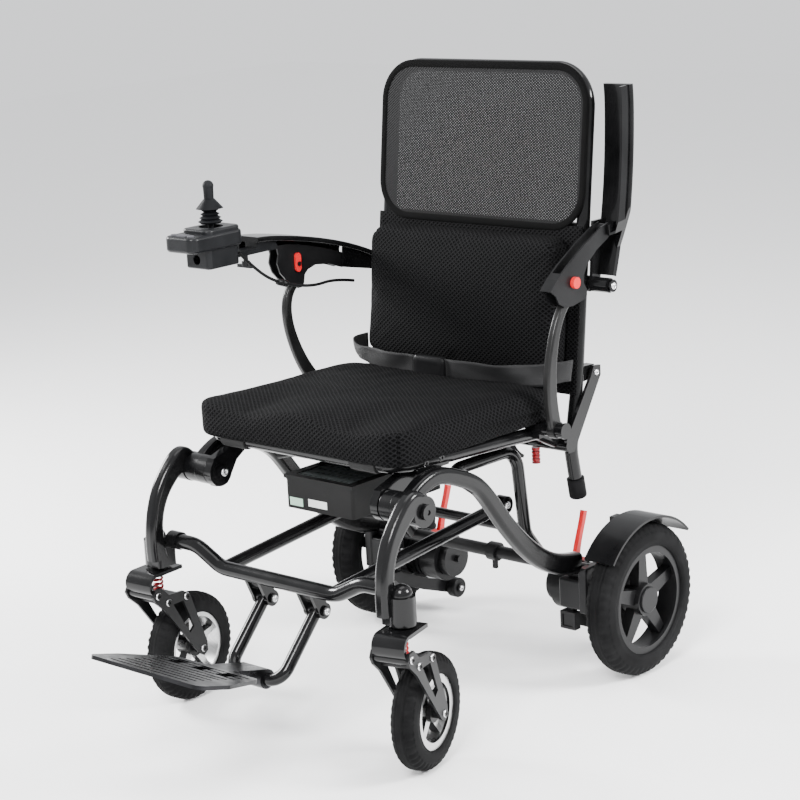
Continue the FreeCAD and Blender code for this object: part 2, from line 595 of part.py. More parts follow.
mesh = back_panel(210, 752, 1003, 15.6, 4.2, 62)
add("back_mesh", mesh)
sling = back_panel(217, 478, 736, 15.2, 3.4, 8)
add("back_sling", sling)
pad = back_panel(200, 512, 728, 62, 46, 26)
pad = soften(pad, 12.0, lambda e: e.Length > 60)
add("back_cushion", pad)


def flat_strap(points, width, thick):
    """Flat strap through points, standing on its edge."""
    pieces = []
    for a, b in zip(points, points[1:]):
        run = b - a
        side_dir = run.cross(Z).normalize() * (thick / 2)
        up = Z * (width / 2)
        corners = [a - side_dir - up, b - side_dir - up, b - side_dir + up, a - side_dir + up]
        face = Part.Face(Part.makePolygon(corners + corners[:1]))
        pieces.append(face.extrude(side_dir * 2))
        pieces.append(Part.makeCylinder(thick / 2, width, b - up, Z))
    return pieces[0].fuse(pieces[1:])


STRAP_Z = 521.0
strap_line = [vec(34, 100, STRAP_Z), vec(120, 112, STRAP_Z), vec(212, 150, STRAP_Z), vec(220, 192, STRAP_Z)]
left_strap = flat_strap(strap_line, 36, 2.4)
add("lap_straps", both(left_strap))
buckle = box(-33.4, 33.4, 92, 108, STRAP_Z - 19, STRAP_Z + 19)
buckle = soften(buckle, 5.0)
add("belt_buckle", buckle)

# ---------------------------------------------------------------------- arms

PAD_LINE = [(-58, 741), (-28, 739), (0, 735), (50, 726), (110, 712), (160, 697), (205, 680), (236, 666)]


def arm(side):
    """Pad, bracket, latch and bow of one side, laid out with the pad down."""
    cx = ARM_X
    top = ribbon(PAD_LINE, [9] * len(PAD_LINE), cx - 27, cx + 27, 3.0)
    flange = ribbon([(y, z - 13) for y, z in PAD_LINE], [22] * len(PAD_LINE), cx + 19, cx + 23, 0)
    ear = prism([(150, 699), (206, 680), (ARM_A[0] + 12, ARM_A[1] + 4), (ARM_A[0] + 8, ARM_A[1] - 12),
                 (ARM_A[0] - 10, ARM_A[1] - 10), (146, 662)], cx - 20, cx - 15)
    eye_a = xrod(12, cx - 20, cx + 12, ARM_A[0], ARM_A[1])
    c_boss = xrod(8, cx - 20, cx - 15, ARM_C[0], ARM_C[1])
    c_pin = xrod(4 - FIT, cx - 17, cx + 12, ARM_C[0], ARM_C[1])
    c_wall = prism([(150, 704), (170, 700), (168, 662), (151, 662)], cx + 10, cx + 14)
    pad = top.fuse([flange, ear, eye_a, c_boss, c_pin, c_wall])
    taper = [vec(cx + 30, 120, 600), vec(cx + 30, 270, 600), vec(cx + 13, 270, 600), vec(cx + 13, 192, 600)]
    pad = pad.cut(Part.Face(Part.makePolygon(taper + taper[:1])).extrude(vec(0, 0, 200)))
    pad = pad.cut(xrod(10 + FIT, 200, 300, ARM_A[0], ARM_A[1]))
    outline = [(-4, 722), (-1, 706), (-5, 692), (1, 675), (14, 661), (33, 648), (40, 643.5), (49, 643.5),
               (55, 650), (58, 664), (66, 671), (85, 676), (116, 672),
               (ARM_C[0] - 12, 661), (ARM_C[0] + 2, 660), (ARM_C[0] + 9, 667),
               (ARM_C[0] + 7, 677), (ARM_C[0] - 10, 687), (104, 702), (50, 716), (20, 721)]
    cheeks = [prism(outline, cx - 13.6, cx - 10.6), prism(outline, cx + 5, cx + 8)]
    web = prism([(-4, 722), (20, 721), (34, 718.5), (34, 713.5), (20, 715), (-2, 716)], cx - 12, cx + 7)
    bracket = cheeks[0].fuse([cheeks[1], web])
    bracket = bracket.fuse(xrod(8, cx - 13.6, cx + 8, ARM_C[0], ARM_C[1]))
    bracket = bracket.cut(xrod(4, cx - 30, cx + 30, ARM_C[0], ARM_C[1]))
    latch_at = (42.0, 685.0)
    bracket = bracket.fuse([xrod(4 - FIT, cx - 19, cx - 12, latch_at[0], latch_at[1]),
                            xrod(4 - FIT, cx + 6, cx + 13, latch_at[0], latch_at[1])])
    button = ring(9, 4, cx + 8 + GAP, cx + 12, latch_at[0], latch_at[1])
    button = button.fuse(xrod(9, cx + 13 + GAP, cx + 15, latch_at[0], latch_at[1]))
    button = button.fuse(ring(9, 4.4, cx + 8 + GAP, cx + 14, latch_at[0], latch_at[1]))
    thumb = xrod(6.5, cx - 17.5, cx - 14, latch_at[0] - 1, latch_at[1] - 7)
    thumb = thumb.fuse(xrod(6.5, cx - 17.5, cx - 14, latch_at[0] - 1, latch_at[1] + 12))
    thumb = thumb.fuse(box(cx - 17.5, cx - 14, latch_at[0] - 7.5, latch_at[0] + 5.5,
                           latch_at[1] - 7, latch_at[1] + 12))
    thumb = thumb.cut(xrod(4, cx - 30, cx + 30, latch_at[0], latch_at[1]))
    latch = [button, thumb]
    bow_line = [(ARM_B[0], ARM_B[1]), (73, 482), (48, 518), (30, 558), (21, 596), (25, 630),
                (ARM_D[0], ARM_D[1])]
    bow = ribbon(bow_line, [25, 24, 22, 19, 17, 16, 16], cx - 9, cx + 4, 4.5)
    bow = bow.fuse([xrod(14, cx - 9, cx + 4, ARM_B[0], ARM_B[1]),
                    xrod(8, cx - 9, cx + 4, ARM_D[0], ARM_D[1])])
    bow = bow.cut(xrod(12 + FIT, 200, 300, ARM_B[0], ARM_B[1]))
    made = {"arm_pad": pad, "arm_bracket": bracket, "arm_latch": latch, "arm_bow": bow}
    return made


arms = arm(1)


def raised(name, shape):
    """Turn one piece of the arm from pad down to pad up."""
    if name == "arm_bow":
        return turned(shape, ARM_B, BOW_TURN)
    if name == "arm_pad":
        return turned(shape, ARM_A, FLIP)
    lifted = turned(shape, ARM_C, BRACKET_TURN - FLIP)
    return turned(lifted, ARM_A, FLIP)


for name, shape in arms.items():
    solids = shape if isinstance(shape, list) else [shape]
    add(name + "_left", [raised(name, one) for one in solids])
    add(name + "_right", [mirrored(one) for one in solids])

sleeve = ring(10, 7, 219 + GAP, ARM_X + 14, ARM_A[0], ARM_A[1])
add("arm_sleeves", both(sleeve))
bush = ring(12, 9, 222 + GAP, ARM_X + 15.6, ARM_B[0], ARM_B[1])
add("bow_bushes", both(bush))

# ---------------------------------------------------------------- controller

CX = -243.0
head = box(CX - 35, CX + 33, -212, -96, 742, 768)
head = soften(head, 14.0, along_z)
head = soften(head, 5.0, lambda e: not along_z(e))
hump = box(CX - 31, CX + 31, -176, -100, 760, 775)
hump = soften(hump, 12.0, along_z)
hump = soften(hump, 3.5, lambda e: e.BoundBox.ZMin > 774)
lower_box = box(CX - 28, CX + 28, -174, -104, 711, 743)
lower_box = soften(lower_box, 8.0, along_z)
lower_box = soften(lower_box, 3.0, lambda e: e.BoundBox.ZMax < 712)
rail_mount = box(CX - 14, CX + 14, -110, -6, 718, 726).fuse(box(CX - 14, CX + 14, -52, -8, 724, 738))
knob_stem = rod(4, vec(CX + 6, -72, 706), vec(CX + 6, -72, 722))
body = head.fuse([hump, lower_box, rail_mount, knob_stem])
body = body.cut(Part.makeCylinder(8, 14, vec(CX, -175, 726), Y))
gimbal_well = Part.makeCylinder(20, 30, vec(CX, -138, 750), Z)
body = body.cut(gimbal_well)
BUTTONS = {"power_button": (CX - 20, -200), "horn_button": (CX + 18, -200)}
for x, y in BUTTONS.values():
    body = body.cut(Part.makeCylinder(6 + GAP, 20, vec(x, y, 763), Z))
body = body.cut(box(CX - 11, CX + 11, -207, -193, 763, 780))
pads_now = NODES["arm_pad_right"][0]
body = body.cut(pads_now)
for name, (x, y) in BUTTONS.items():
    add(name, soften(Part.makeCylinder(6, 5.5, vec(x, y, 764.8), Z), 1.0))
rocker = box(CX - 10.4, CX + 10.4, -206.4, -193.6, 767, 770.5)
rocker = soften(rocker, 1.5, along_z)
rocker = rocker.fuse(rod(3.2, vec(CX, -206.4, 767), vec(CX, -193.6, 767)))
add("speed_rocker", rocker)

JOY_Z = 762.0
JOY_Y = -138.0
gimbal = Part.makeCylinder(14, 8, vec(CX, JOY_Y, JOY_Z - 4), Z)
gimbal = gimbal.cut(Part.makeCylinder(10, 8, vec(CX, JOY_Y, JOY_Z - 4), Z))
gimbal = gimbal.fuse([rod(2.5, vec(CX + 13, JOY_Y, JOY_Z), vec(CX + 19.6, JOY_Y, JOY_Z)),
                      rod(2.5, vec(CX - 19.6, JOY_Y, JOY_Z), vec(CX - 13, JOY_Y, JOY_Z))])
add("joystick_gimbal", gimbal)
stick = rod(4.5, vec(CX, JOY_Y, JOY_Z - 5), vec(CX, JOY_Y, 810))
stick = stick.fuse(rod(2, vec(CX, JOY_Y - 9.6, JOY_Z), vec(CX, JOY_Y + 9.6, JOY_Z)))
for radius, z in ((20, 780), (17.5, 786), (15.5, 792), (13.5, 798)):
    stick = stick.fuse(Part.makeCone(radius - 4, radius, 3, vec(CX, JOY_Y, z), Z))
    stick = stick.fuse(Part.makeCone(radius, radius - 5, 3, vec(CX, JOY_Y, z + 3), Z))
skirt = Part.makeCone(22, 9, 15, vec(CX, JOY_Y, 804), Z)
grip = Part.makeCone(8, 8.5, 21, vec(CX, JOY_Y, 819), Z)
ball = Part.makeSphere(9, vec(CX, JOY_Y, 840))
stick = stick.fuse([skirt, grip, ball])
add("joystick", stick)
knob = Part.makeCylinder(7, 8, vec(CX + 6, -72, 699.5), Z)
wings = box(CX - 12, CX + 20, -75, -69, 697, 702)
add("controller_case", body.fuse([knob, wings]))

LEAD_R = 2.6
LEAD_PTS = [vec(CX + 24, -103.6, 728), vec(CX + 26, -76, 700), vec(CX + 28, -38, 672), vec(CX + 31, 8, 656),
            vec(CX + 31, 58, 646), vec(CX + 30, 108, 649), vec(CX + 29, 156, 638)]


def lead_tube(points, radius):
    """Cord as straight runs joined by tangent arcs; the arc radii are printed."""
    edges = []
    start = points[0]
    for before, corner, after in zip(points, points[1:], points[2:]):
        into = (corner - before).normalize()
        out = (after - corner).normalize()
        half = into.getAngle(out) / 2
        bend = 0.45 * min((corner - before).Length, (after - corner).Length) / math.tan(half)
        trim = bend * math.tan(half)
        inward = (out - into).normalize()
        first = corner - into * trim
        last = corner + out * trim
        middle = corner + inward * (bend / math.cos(half) - bend)
        edges.append(Part.makeLine(start, first))
        edges.append(Part.Arc(first, middle, last).toShape())
        start = last
        print("lead bend radius %.1f mm" % bend)
    edges.append(Part.makeLine(start, points[-1]))
    profile = Part.Wire([Part.makeCircle(radius, points[0], points[1] - points[0])])
    path = Part.Wire(edges)
    print("lead length %.1f mm" % path.Length)
    return path.makePipeShell([profile], True, True)


lead = lead_tube(LEAD_PTS, LEAD_R)
plug_line = (LEAD_PTS[3] - LEAD_PTS[2]).normalize()
plug_mid = (LEAD_PTS[3] + LEAD_PTS[2]) * 0.5
plug = rod(6, plug_mid - plug_line * 12, plug_mid + plug_line * 12)
plug = plug.cut(lead)
add("controller_lead", [lead, plug])

# --------------------------------------------------------------------- write

total = 0
for name, solids in NODES.items():
    shapes = []
    for shape in solids:
        copy = shape.copy()
        copy.translate(vec(0, Y_CENTRE, 0))
        shapes += copy.Solids
    group = shapes[0] if len(shapes) == 1 else Part.makeCompound(shapes)
    good = all(one.isValid() for one in shapes)
    size = group.BoundBox
    print("%-22s solids %d valid %s  x %.0f..%.0f y %.0f..%.0f z %.0f..%.0f" % (
        name, len(shapes), good, size.XMin, size.XMax, size.YMin, size.YMax, size.ZMin, size.ZMax))
    group.exportStep("parts/" + name + ".step")
    total += 1
print("nodes", total)
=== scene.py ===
import math

import bmesh
import bpy
from mathutils import Matrix, Vector, noise


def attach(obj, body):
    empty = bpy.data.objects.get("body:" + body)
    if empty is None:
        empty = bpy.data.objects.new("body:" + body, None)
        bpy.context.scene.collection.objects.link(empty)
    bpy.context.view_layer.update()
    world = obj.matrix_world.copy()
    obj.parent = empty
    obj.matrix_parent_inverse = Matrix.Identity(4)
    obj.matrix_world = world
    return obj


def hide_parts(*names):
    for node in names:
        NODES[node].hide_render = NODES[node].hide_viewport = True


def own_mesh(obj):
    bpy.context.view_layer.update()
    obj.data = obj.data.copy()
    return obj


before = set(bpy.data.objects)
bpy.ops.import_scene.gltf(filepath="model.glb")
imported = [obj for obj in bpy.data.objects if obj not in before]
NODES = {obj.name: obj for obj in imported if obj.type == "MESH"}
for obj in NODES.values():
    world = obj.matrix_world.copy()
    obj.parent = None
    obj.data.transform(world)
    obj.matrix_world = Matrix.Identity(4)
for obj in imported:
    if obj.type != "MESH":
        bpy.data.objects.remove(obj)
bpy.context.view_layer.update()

YC = 0.084635               # the part's Y offset, metres
STEM = (0.2635, -0.2885 + YC)
AXLE = (0.270 + YC, 0.128)
SWIVEL = {1: math.radians(14), -1: math.radians(4)}
TRAIL = 0.0565
CASTER_R = 0.09
WEAR_GAIN = 1.25            # how much lighter the worn patches of a painted surface are
CX = -243                   # mid-plane of the right arm, millimetres
NET_STEPS = 400             # samples along a thread when its two ends are looked for
CLOTH_FRAMES = 20
SIDES = ((1, "left", "l"), (-1, "right", "r"))
LEAN = math.atan(0.127)


def at(x, y, z):
    """A point of the part's working layout, in millimetres, as metres in the row frame."""
    return Vector((x / 1000, y / 1000 + YC, z / 1000))


# ------------------------------------------------------------------ materials


class Nodes:
    """Small helper that builds one procedural material."""

    def __init__(self, name):
        self.mat = bpy.data.materials.new(name)
        self.mat.use_nodes = True
        self.tree = self.mat.node_tree
        self.shader = self.tree.nodes["Principled BSDF"]
        self.coords = None

    def node(self, kind, **values):
        made = self.tree.nodes.new(kind)
        for key, value in values.items():
            setattr(made, key, value)
        return made

    def link(self, a, b):
        self.tree.links.new(a, b)

    def feed(self, slot, source):
        self.link(source, self.shader.inputs[slot])

    def position(self, uv=False):
        if self.coords is None:
            self.coords = self.node("ShaderNodeTexCoord")
        return self.coords.outputs["UV" if uv else "Object"]

    def noise(self, scale, detail=3.0, rough=0.55, uv=False):
        made = self.node("ShaderNodeTexNoise")
        made.inputs["Scale"].default_value = scale
        made.inputs["Detail"].default_value = detail
        made.inputs["Roughness"].default_value = rough
        self.link(self.position(uv), made.inputs["Vector"])
        return made.outputs["Fac"]

    def math(self, operation, a, b=None):
        made = self.node("ShaderNodeMath", operation=operation)
        for slot_at, value in enumerate((a, b)):
            if value is None:
                continue
            if isinstance(value, (int, float)):
                made.inputs[slot_at].default_value = value
            else:
                self.link(value, made.inputs[slot_at])
        return made.outputs[0]

    def ramp(self, source, low, high, start=0.3, end=0.7):
        made = self.node("ShaderNodeMapRange")
        made.inputs["From Min"].default_value = start
        made.inputs["From Max"].default_value = end
        made.inputs["To Min"].default_value = low
        made.inputs["To Max"].default_value = high
        self.link(source, made.inputs["Value"])
        return made.outputs["Result"]

    def mix(self, factor, first, second):
        made = self.node("ShaderNodeMix", data_type="RGBA")
        self.link(factor, made.inputs["Factor"])
        for socket, value in ((made.inputs[6], first), (made.inputs[7], second)):
            if isinstance(value, tuple):
                socket.default_value = (*value, 1)
            else:
                self.link(value, socket)
        return made.outputs[2]

    def bump(self, height, strength, distance):
        made = self.node("ShaderNodeBump")
        made.inputs["Strength"].default_value = strength
        made.inputs["Distance"].default_value = distance
        self.link(height, made.inputs["Height"])
        self.link(made.outputs["Normal"], self.shader.inputs["Normal"])
        return made

    def axes(self, uv=True):
        made = self.node("ShaderNodeSeparateXYZ")
        self.link(self.position(uv), made.inputs[0])
        return made.outputs


def set_shader(made, **values):
    for key, value in values.items():
        made.shader.inputs[key.replace("_", " ")].default_value = value


def paint(name, colour, rough, coat=0.0, grain=90.0, grain_bump=0.04, shine=0.12):
    """Painted, plated or moulded surface: colour and roughness drift, dust and a fine surface grain."""
    made = Nodes(name)
    cloud = made.noise(14, 4)
    fine = made.noise(grain * 10, 2)
    wear = tuple(min(1, c * WEAR_GAIN + 0.004) for c in colour)
    made.feed("Base Color", made.mix(made.ramp(cloud, 0, 1), colour, wear))
    rub = made.math("ADD", made.ramp(cloud, rough - 0.05, rough + 0.07), made.ramp(fine, -0.02, 0.03))
    made.feed("Roughness", rub)
    made.bump(fine, grain_bump, 0.0004)
    set_shader(made, Coat_Weight=coat, Coat_Roughness=0.06, Specular_IOR_Level=shine)
    return made.mat


def carbon(name, colour, rough):
    """Satin coated fibre layup: plain in front, with a darker twill under the lacquer at the rear."""
    made = Nodes(name)
    x, y, z = made.axes(uv=False)
    run = made.math("ADD", y, z)
    cut = made.math("SUBTRACT", y, z)
    first = made.math("SINE", made.math("MULTIPLY", run, 2200.0))
    second = made.math("SINE", made.math("MULTIPLY", cut, 2200.0))
    twill = made.math("MULTIPLY", first, second)
    cloud = made.noise(22, 4)
    rear = made.ramp(y, 0.0, 1.0, 0.128, 0.14)
    dark = tuple(c * 0.3 for c in colour)
    light = tuple(c * 1.28 for c in colour)
    base = made.mix(made.ramp(cloud, 0, 1), colour, light)
    woven = made.mix(made.ramp(twill, 0, 1, -0.6, 0.6), dark, tuple(c * 0.9 for c in colour))
    made.feed("Base Color", made.mix(rear, base, woven))
    made.feed("Roughness", made.ramp(cloud, rough - 0.06, rough + 0.08))
    made.bump(twill, 0.12, 0.0003)
    set_shader(made, Coat_Weight=0.14, Coat_Roughness=0.1, Specular_IOR_Level=0.13)
    return made.mat


def rubber(name, colour, rough):
    made = Nodes(name)
    cloud = made.noise(18, 5)
    fine = made.noise(700, 3)
    dusty = tuple(c * 1.7 + 0.006 for c in colour)
    made.feed("Base Color", made.mix(made.ramp(cloud, 0, 1, 0.42, 0.75), colour, dusty))
    made.feed("Roughness", made.ramp(cloud, rough - 0.07, rough + 0.08))
    made.bump(fine, 0.18, 0.0006)
    set_shader(made, Specular_IOR_Level=0.06)
    return made.mat


def air_mesh(name, pitch, hole_shade, thread, depth):
    """Spacer fabric: raised diagonal strands in the fabric's own dark colour round diamond holes painted
    near-black as the shade inside them, with a soft sheen.
    """
    made = Nodes(name)
    u, v, _ = made.axes()
    drift = made.math("MULTIPLY", made.math("SUBTRACT", made.noise(9, 2, uv=True), 0.5), 0.0022)
    turn = math.pi / pitch
    flat = made.math("MULTIPLY", u, 0.82)
    rising = made.math("ADD", made.math("ADD", flat, v), drift)
    falling = made.math("SUBTRACT", made.math("SUBTRACT", flat, v), drift)
    first = made.math("COSINE", made.math("MULTIPLY", rising, turn))
    second = made.math("COSINE", made.math("MULTIPLY", falling, turn))
    strands = made.math("MAXIMUM", made.math("POWER", made.math("ABSOLUTE", first), 2.0),
                        made.math("POWER", made.math("ABSOLUTE", second), 2.0))
    fuzz = made.noise(1500, 2, uv=True)
    height = made.math("ADD", strands, made.math("MULTIPLY", fuzz, 0.25))
    cloud = made.noise(7, 3, uv=True)
    tone = made.math("MULTIPLY", made.ramp(strands, 0, 1, 0.5, 0.95), made.ramp(cloud, 0.75, 1.0))
    # between the strands the holes get the near-black painted shade, on the strands the thread colour
    # shows
    made.feed("Base Color", made.mix(tone, hole_shade, thread))
    made.feed("Roughness", made.ramp(fuzz, 0.7, 0.9))
    made.bump(height, 0.9, depth)
    set_shader(made, Specular_IOR_Level=0.05)
    return made.mat


def webbing(name, colour, light, ribs):
    """Woven strap or plain cloth: fine ribs across and a herringbone of threads."""
    made = Nodes(name)
    u, v, _ = made.axes()
    across = made.math("SINE", made.math("MULTIPLY", u, ribs * 2))
    along = made.math("SINE", made.math("MULTIPLY", v, ribs * 3.2))
    weave = made.math("MULTIPLY", across, along)
    cloud = made.noise(26, 4, uv=True)
    shade = made.mix(made.ramp(cloud, 0, 1), colour, light)
    darker = tuple(c * 0.45 for c in colour)
    made.feed("Base Color", made.mix(made.ramp(weave, 0, 1, -0.8, 0.4), darker, shade))
    made.feed("Roughness", made.ramp(cloud, 0.55, 0.8))
    made.bump(weave, 0.35, 0.0004)
    set_shader(made, Sheen_Weight=0.03, Specular_IOR_Level=0.22)
    return made.mat


def brushed(name, colour, rough, streak=(1, 40, 1)):
    """Machined or brushed metal with fine drawn lines."""
    made = Nodes(name)
    mapping = made.node("ShaderNodeMapping")
    mapping.inputs["Scale"].default_value = streak
    made.link(made.position(), mapping.inputs["Vector"])
    lines = made.node("ShaderNodeTexNoise")
    lines.inputs["Scale"].default_value = 60
    lines.inputs["Detail"].default_value = 5
    made.link(mapping.outputs[0], lines.inputs["Vector"])
    cloud = made.noise(30, 3)
    tint = tuple(c * 0.72 for c in colour)
    made.feed("Base Color", made.mix(made.ramp(lines.outputs["Fac"], 0, 1), colour, tint))
    made.feed("Roughness", made.ramp(cloud, rough - 0.06, rough + 0.12))
    made.bump(lines.outputs["Fac"], 0.06, 0.0003)
    set_shader(made, Metallic=1.0)
    return made.mat


GLOSS = paint("gloss_black_paint", (0.0016, 0.0016, 0.0018), 0.15, coat=0.16, grain_bump=0.01, shine=0.15)
SATIN = paint("satin_black", (0.003, 0.003, 0.0033), 0.32, coat=0.08, grain_bump=0.05)
CARBON = carbon("fibre_gloss", (0.0022, 0.0022, 0.0024), 0.2)
BOW = paint("bow_satin", (0.006, 0.006, 0.006), 0.3, coat=0.12, grain_bump=0.04, shine=0.15)
STEEL = brushed("socket_screw_steel", (0.72, 0.72, 0.73), 0.24)
SILVER = brushed("rim_silver", (0.62, 0.62, 0.62), 0.3)
PLATE = brushed("plate_dark_aluminium", (0.03, 0.03, 0.032), 0.3, (40, 1, 1))
TYRE = rubber("tyre_rubber", (0.0028, 0.0028, 0.003), 0.68)
SOFT_RUBBER = rubber("soft_rubber", (0.003, 0.003, 0.0033), 0.6)
BELLOWS = rubber("bellows_rubber", (0.0045, 0.0048, 0.0055), 0.48)
PLASTIC = paint("moulded_black", (0.003, 0.003, 0.0033), 0.36, grain=160, grain_bump=0.25)
CASE = paint("controller_plastic", (0.0045, 0.0048, 0.0055), 0.34, coat=0.12, grain=200, grain_bump=0.2)
BATTERY = paint("battery_case_plastic", (0.004, 0.004, 0.004), 0.42, grain=150, grain_bump=0.3)
PANEL = paint("battery_panel_grey", (0.1, 0.115, 0.115), 0.45, grain=120, grain_bump=0.2)
RED = paint("red_plastic", (0.45, 0.010, 0.012), 0.34, coat=0.25, grain=120, grain_bump=0.1)
DARK_RED = paint("red_spring_coat", (0.3, 0.006, 0.01), 0.34, coat=0.3, grain=120, grain_bump=0.05)
WHEEL = paint("wheel_black", (0.003, 0.003, 0.0033), 0.32, coat=0.08, grain=150, grain_bump=0.15)
LABEL_WHITE = paint("blank_label_white", (0.62, 0.64, 0.62), 0.5, grain=100)
LABEL_GREEN = paint("blank_label_green", (0.34, 0.5, 0.4), 0.5, grain=100)
KEY = paint("key_grey", (0.05, 0.05, 0.055), 0.5, grain=150, grain_bump=0.2)
# The first colour of each air mesh below is the near-black painted shade inside its holes, the second the
# threads' own colour.
PAD_HOLE_SHADE_AND_THREAD = (0.0003, 0.0003, 0.0004), (0.0066, 0.0066, 0.007)
SEAT_MESH = air_mesh("seat_air_mesh", 0.0078, *PAD_HOLE_SHADE_AND_THREAD, 0.0020)
BACK_PAD_MESH = air_mesh("back_air_mesh", 0.0074, *PAD_HOLE_SHADE_AND_THREAD, 0.0019)
BAND = air_mesh("mesh_border_band", 0.0030, (0.0004, 0.0004, 0.0004), (0.0022, 0.0022, 0.0023), 0.0006)
NET = paint("net_thread", (0.004, 0.004, 0.0044), 0.6, grain=300, grain_bump=0.3)
BELT = webbing("belt_webbing", (0.005, 0.005, 0.0055), (0.009, 0.009, 0.0095), 1100)
HOOK = webbing("hook_tape", (0.004, 0.004, 0.004), (0.008, 0.008, 0.008), 2200)


def new_object(name, data):
    obj = bpy.data.objects.new(name, data)
    bpy.context.scene.collection.objects.link(obj)
    return obj


def smooth(obj):
    for face in obj.data.polygons:
        face.use_smooth = True


def split_edges(obj, degrees):
    """Keeps the edges sharper than this angle crisp."""
    obj.modifiers.new("edge", "EDGE_SPLIT").split_angle = math.radians(degrees)


def outward(obj):
    """Turns all faces of a closed mesh outward."""
    bm = bmesh.new()
    bm.from_mesh(obj.data)
    bmesh.ops.recalc_face_normals(bm, faces=bm.faces)
    bm.to_mesh(obj.data)
    bm.free()


def dress(obj, material):
    obj.data.materials.clear()
    obj.data.materials.append(material)


LOOKS = {"side_rails": CARBON, "hinge_pins": GLOSS, "fenders": SATIN, "rear_beam": SATIN,
         "drive_units": SATIN, "tip_arms": SATIN, "foot_plate": PLATE, "battery_pack": BATTERY,
         "seat_bumper": DARK_RED, "latch_lever": PLASTIC, "post_caps": SOFT_RUBBER,
         "belt_buckle": PLASTIC, "controller_case": CASE, "joystick": BELLOWS,
         "joystick_gimbal": SATIN, "power_button": KEY, "horn_button": KEY, "speed_rocker": KEY,
         "tip_roller_left": PLASTIC, "tip_roller_right": PLASTIC, "clutch_lever_left": RED,
         "clutch_lever_right": RED, "arm_latch_left": RED, "arm_latch_right": RED,
         "arm_bow_left": BOW, "arm_bow_right": BOW, "arm_bracket_left": SATIN,
         "arm_bracket_right": SATIN, "rear_wheel_left": WHEEL, "rear_wheel_right": WHEEL,
         "swing_arm_left": SATIN, "swing_arm_right": SATIN, "front_rim_left": WHEEL,
         "front_rim_right": WHEEL}
for node_name, node in NODES.items():
    dress(node, LOOKS.get(node_name, GLOSS))
    smooth(node)
    split_edges(node, 32)


def repaint(node_name, material, wanted):
    """Gives the faces that wanted accepts, by their centre, a second material."""
    data = NODES[node_name].data
    data.materials.append(material)
    last = len(data.materials) - 1
    for face in data.polygons:
        if wanted(face.center, face.normal):
            face.material_index = last


# ---------------------------------------------------------------- mesh making


def mesh_object(name, verts, faces, material, body, rounded=True):
    data = bpy.data.meshes.new(name)
    data.from_pydata([tuple(v) for v in verts], [], faces)
    data.update()
    for face in data.polygons:
        face.use_smooth = rounded
    obj = new_object(name, data)
    obj.data.materials.append(material)
    if body:
        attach(obj, body)
    return obj


def box_uv(obj):
    """Writes real-size texture coordinates, in metres, from the axis each face looks along."""
    data = obj.data
    layer = data.uv_layers.active or data.uv_layers.new(name="size")
    for face in data.polygons:
        n = face.normal
        for loop in face.loop_indices:
            p = data.vertices[data.loops[loop].vertex_index].co
            if abs(n.z) >= abs(n.y) and abs(n.z) >= abs(n.x):
                layer.data[loop].uv = (p.x, p.y)
            elif abs(n.y) >= abs(n.x):
                layer.data[loop].uv = (p.x, p.z)
            else:
                layer.data[loop].uv = (p.y, p.z)


def apply_modifiers(obj):
    graph = bpy.context.evaluated_depsgraph_get()
    data = bpy.data.meshes.new_from_object(obj.evaluated_get(graph))
    obj.modifiers.clear()
    obj.data = data


def curve_tube(name, points, radius, material, order=3, resolution=8):
    """Round tube along a smooth curve that keeps its two end points."""
    data = bpy.data.curves.new(name, "CURVE")
    data.dimensions = "3D"
    data.bevel_depth = radius
    data.bevel_resolution = 4
    data.resolution_u = resolution
    spline = data.splines.new("NURBS")
    spline.points.add(len(points) - 1)
    for point, place in zip(spline.points, points):
        point.co = (*place, 1)
    spline.order_u = order
    spline.use_endpoint_u = True
    data.use_fill_caps = True
    obj = new_object(name, data)
    obj.data.materials.append(material)
    return obj


def lathe(name, profile, centre, axis, material, body, steps=48):
    """Turned piece: (radius, along) points round an axis through centre."""
    axis = Vector(axis).normalized()
    side = axis.orthogonal().normalized()
    other = axis.cross(side)
    verts = []
    for i in range(steps):
        a = 2 * math.pi * i / steps
        ray = side * math.cos(a) + other * math.sin(a)
        for radius, along in profile:
            verts.append(Vector(centre) + ray * radius + axis * along)
    count = len(profile)
    faces = []
    for i in range(steps):
        j = (i + 1) % steps
        for k in range(count - 1):
            faces.append((i * count + k, j * count + k, j * count + k + 1, i * count + k + 1))
    obj = mesh_object(name, verts, faces, material, None)
    bm = bmesh.new()
    bm.from_mesh(obj.data)
    bmesh.ops.remove_doubles(bm, verts=bm.verts, dist=1e-6)
    bmesh.ops.holes_fill(bm, edges=bm.edges, sides=0)
    bmesh.ops.recalc_face_normals(bm, faces=bm.faces)
    bm.to_mesh(obj.data)
    bm.free()
    smooth(obj)
    split_edges(obj, 38)
    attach(obj, body)
    return obj


def screw(name, place, axis, body, radius=0.0042, material=STEEL):
    """Button-head socket screw whose seat is at place."""
    profile = [(0.0, 0.0006), (radius * 0.42, 0.0006), (radius * 0.46, 0.0022), (radius * 0.62, 0.0026),
               (radius * 0.9, 0.0018), (radius, 0.0006), (radius, 0.0)]
    return lathe(name, profile, place, axis, material, body, 24)


# --------------------------------------------------------------------- tyres


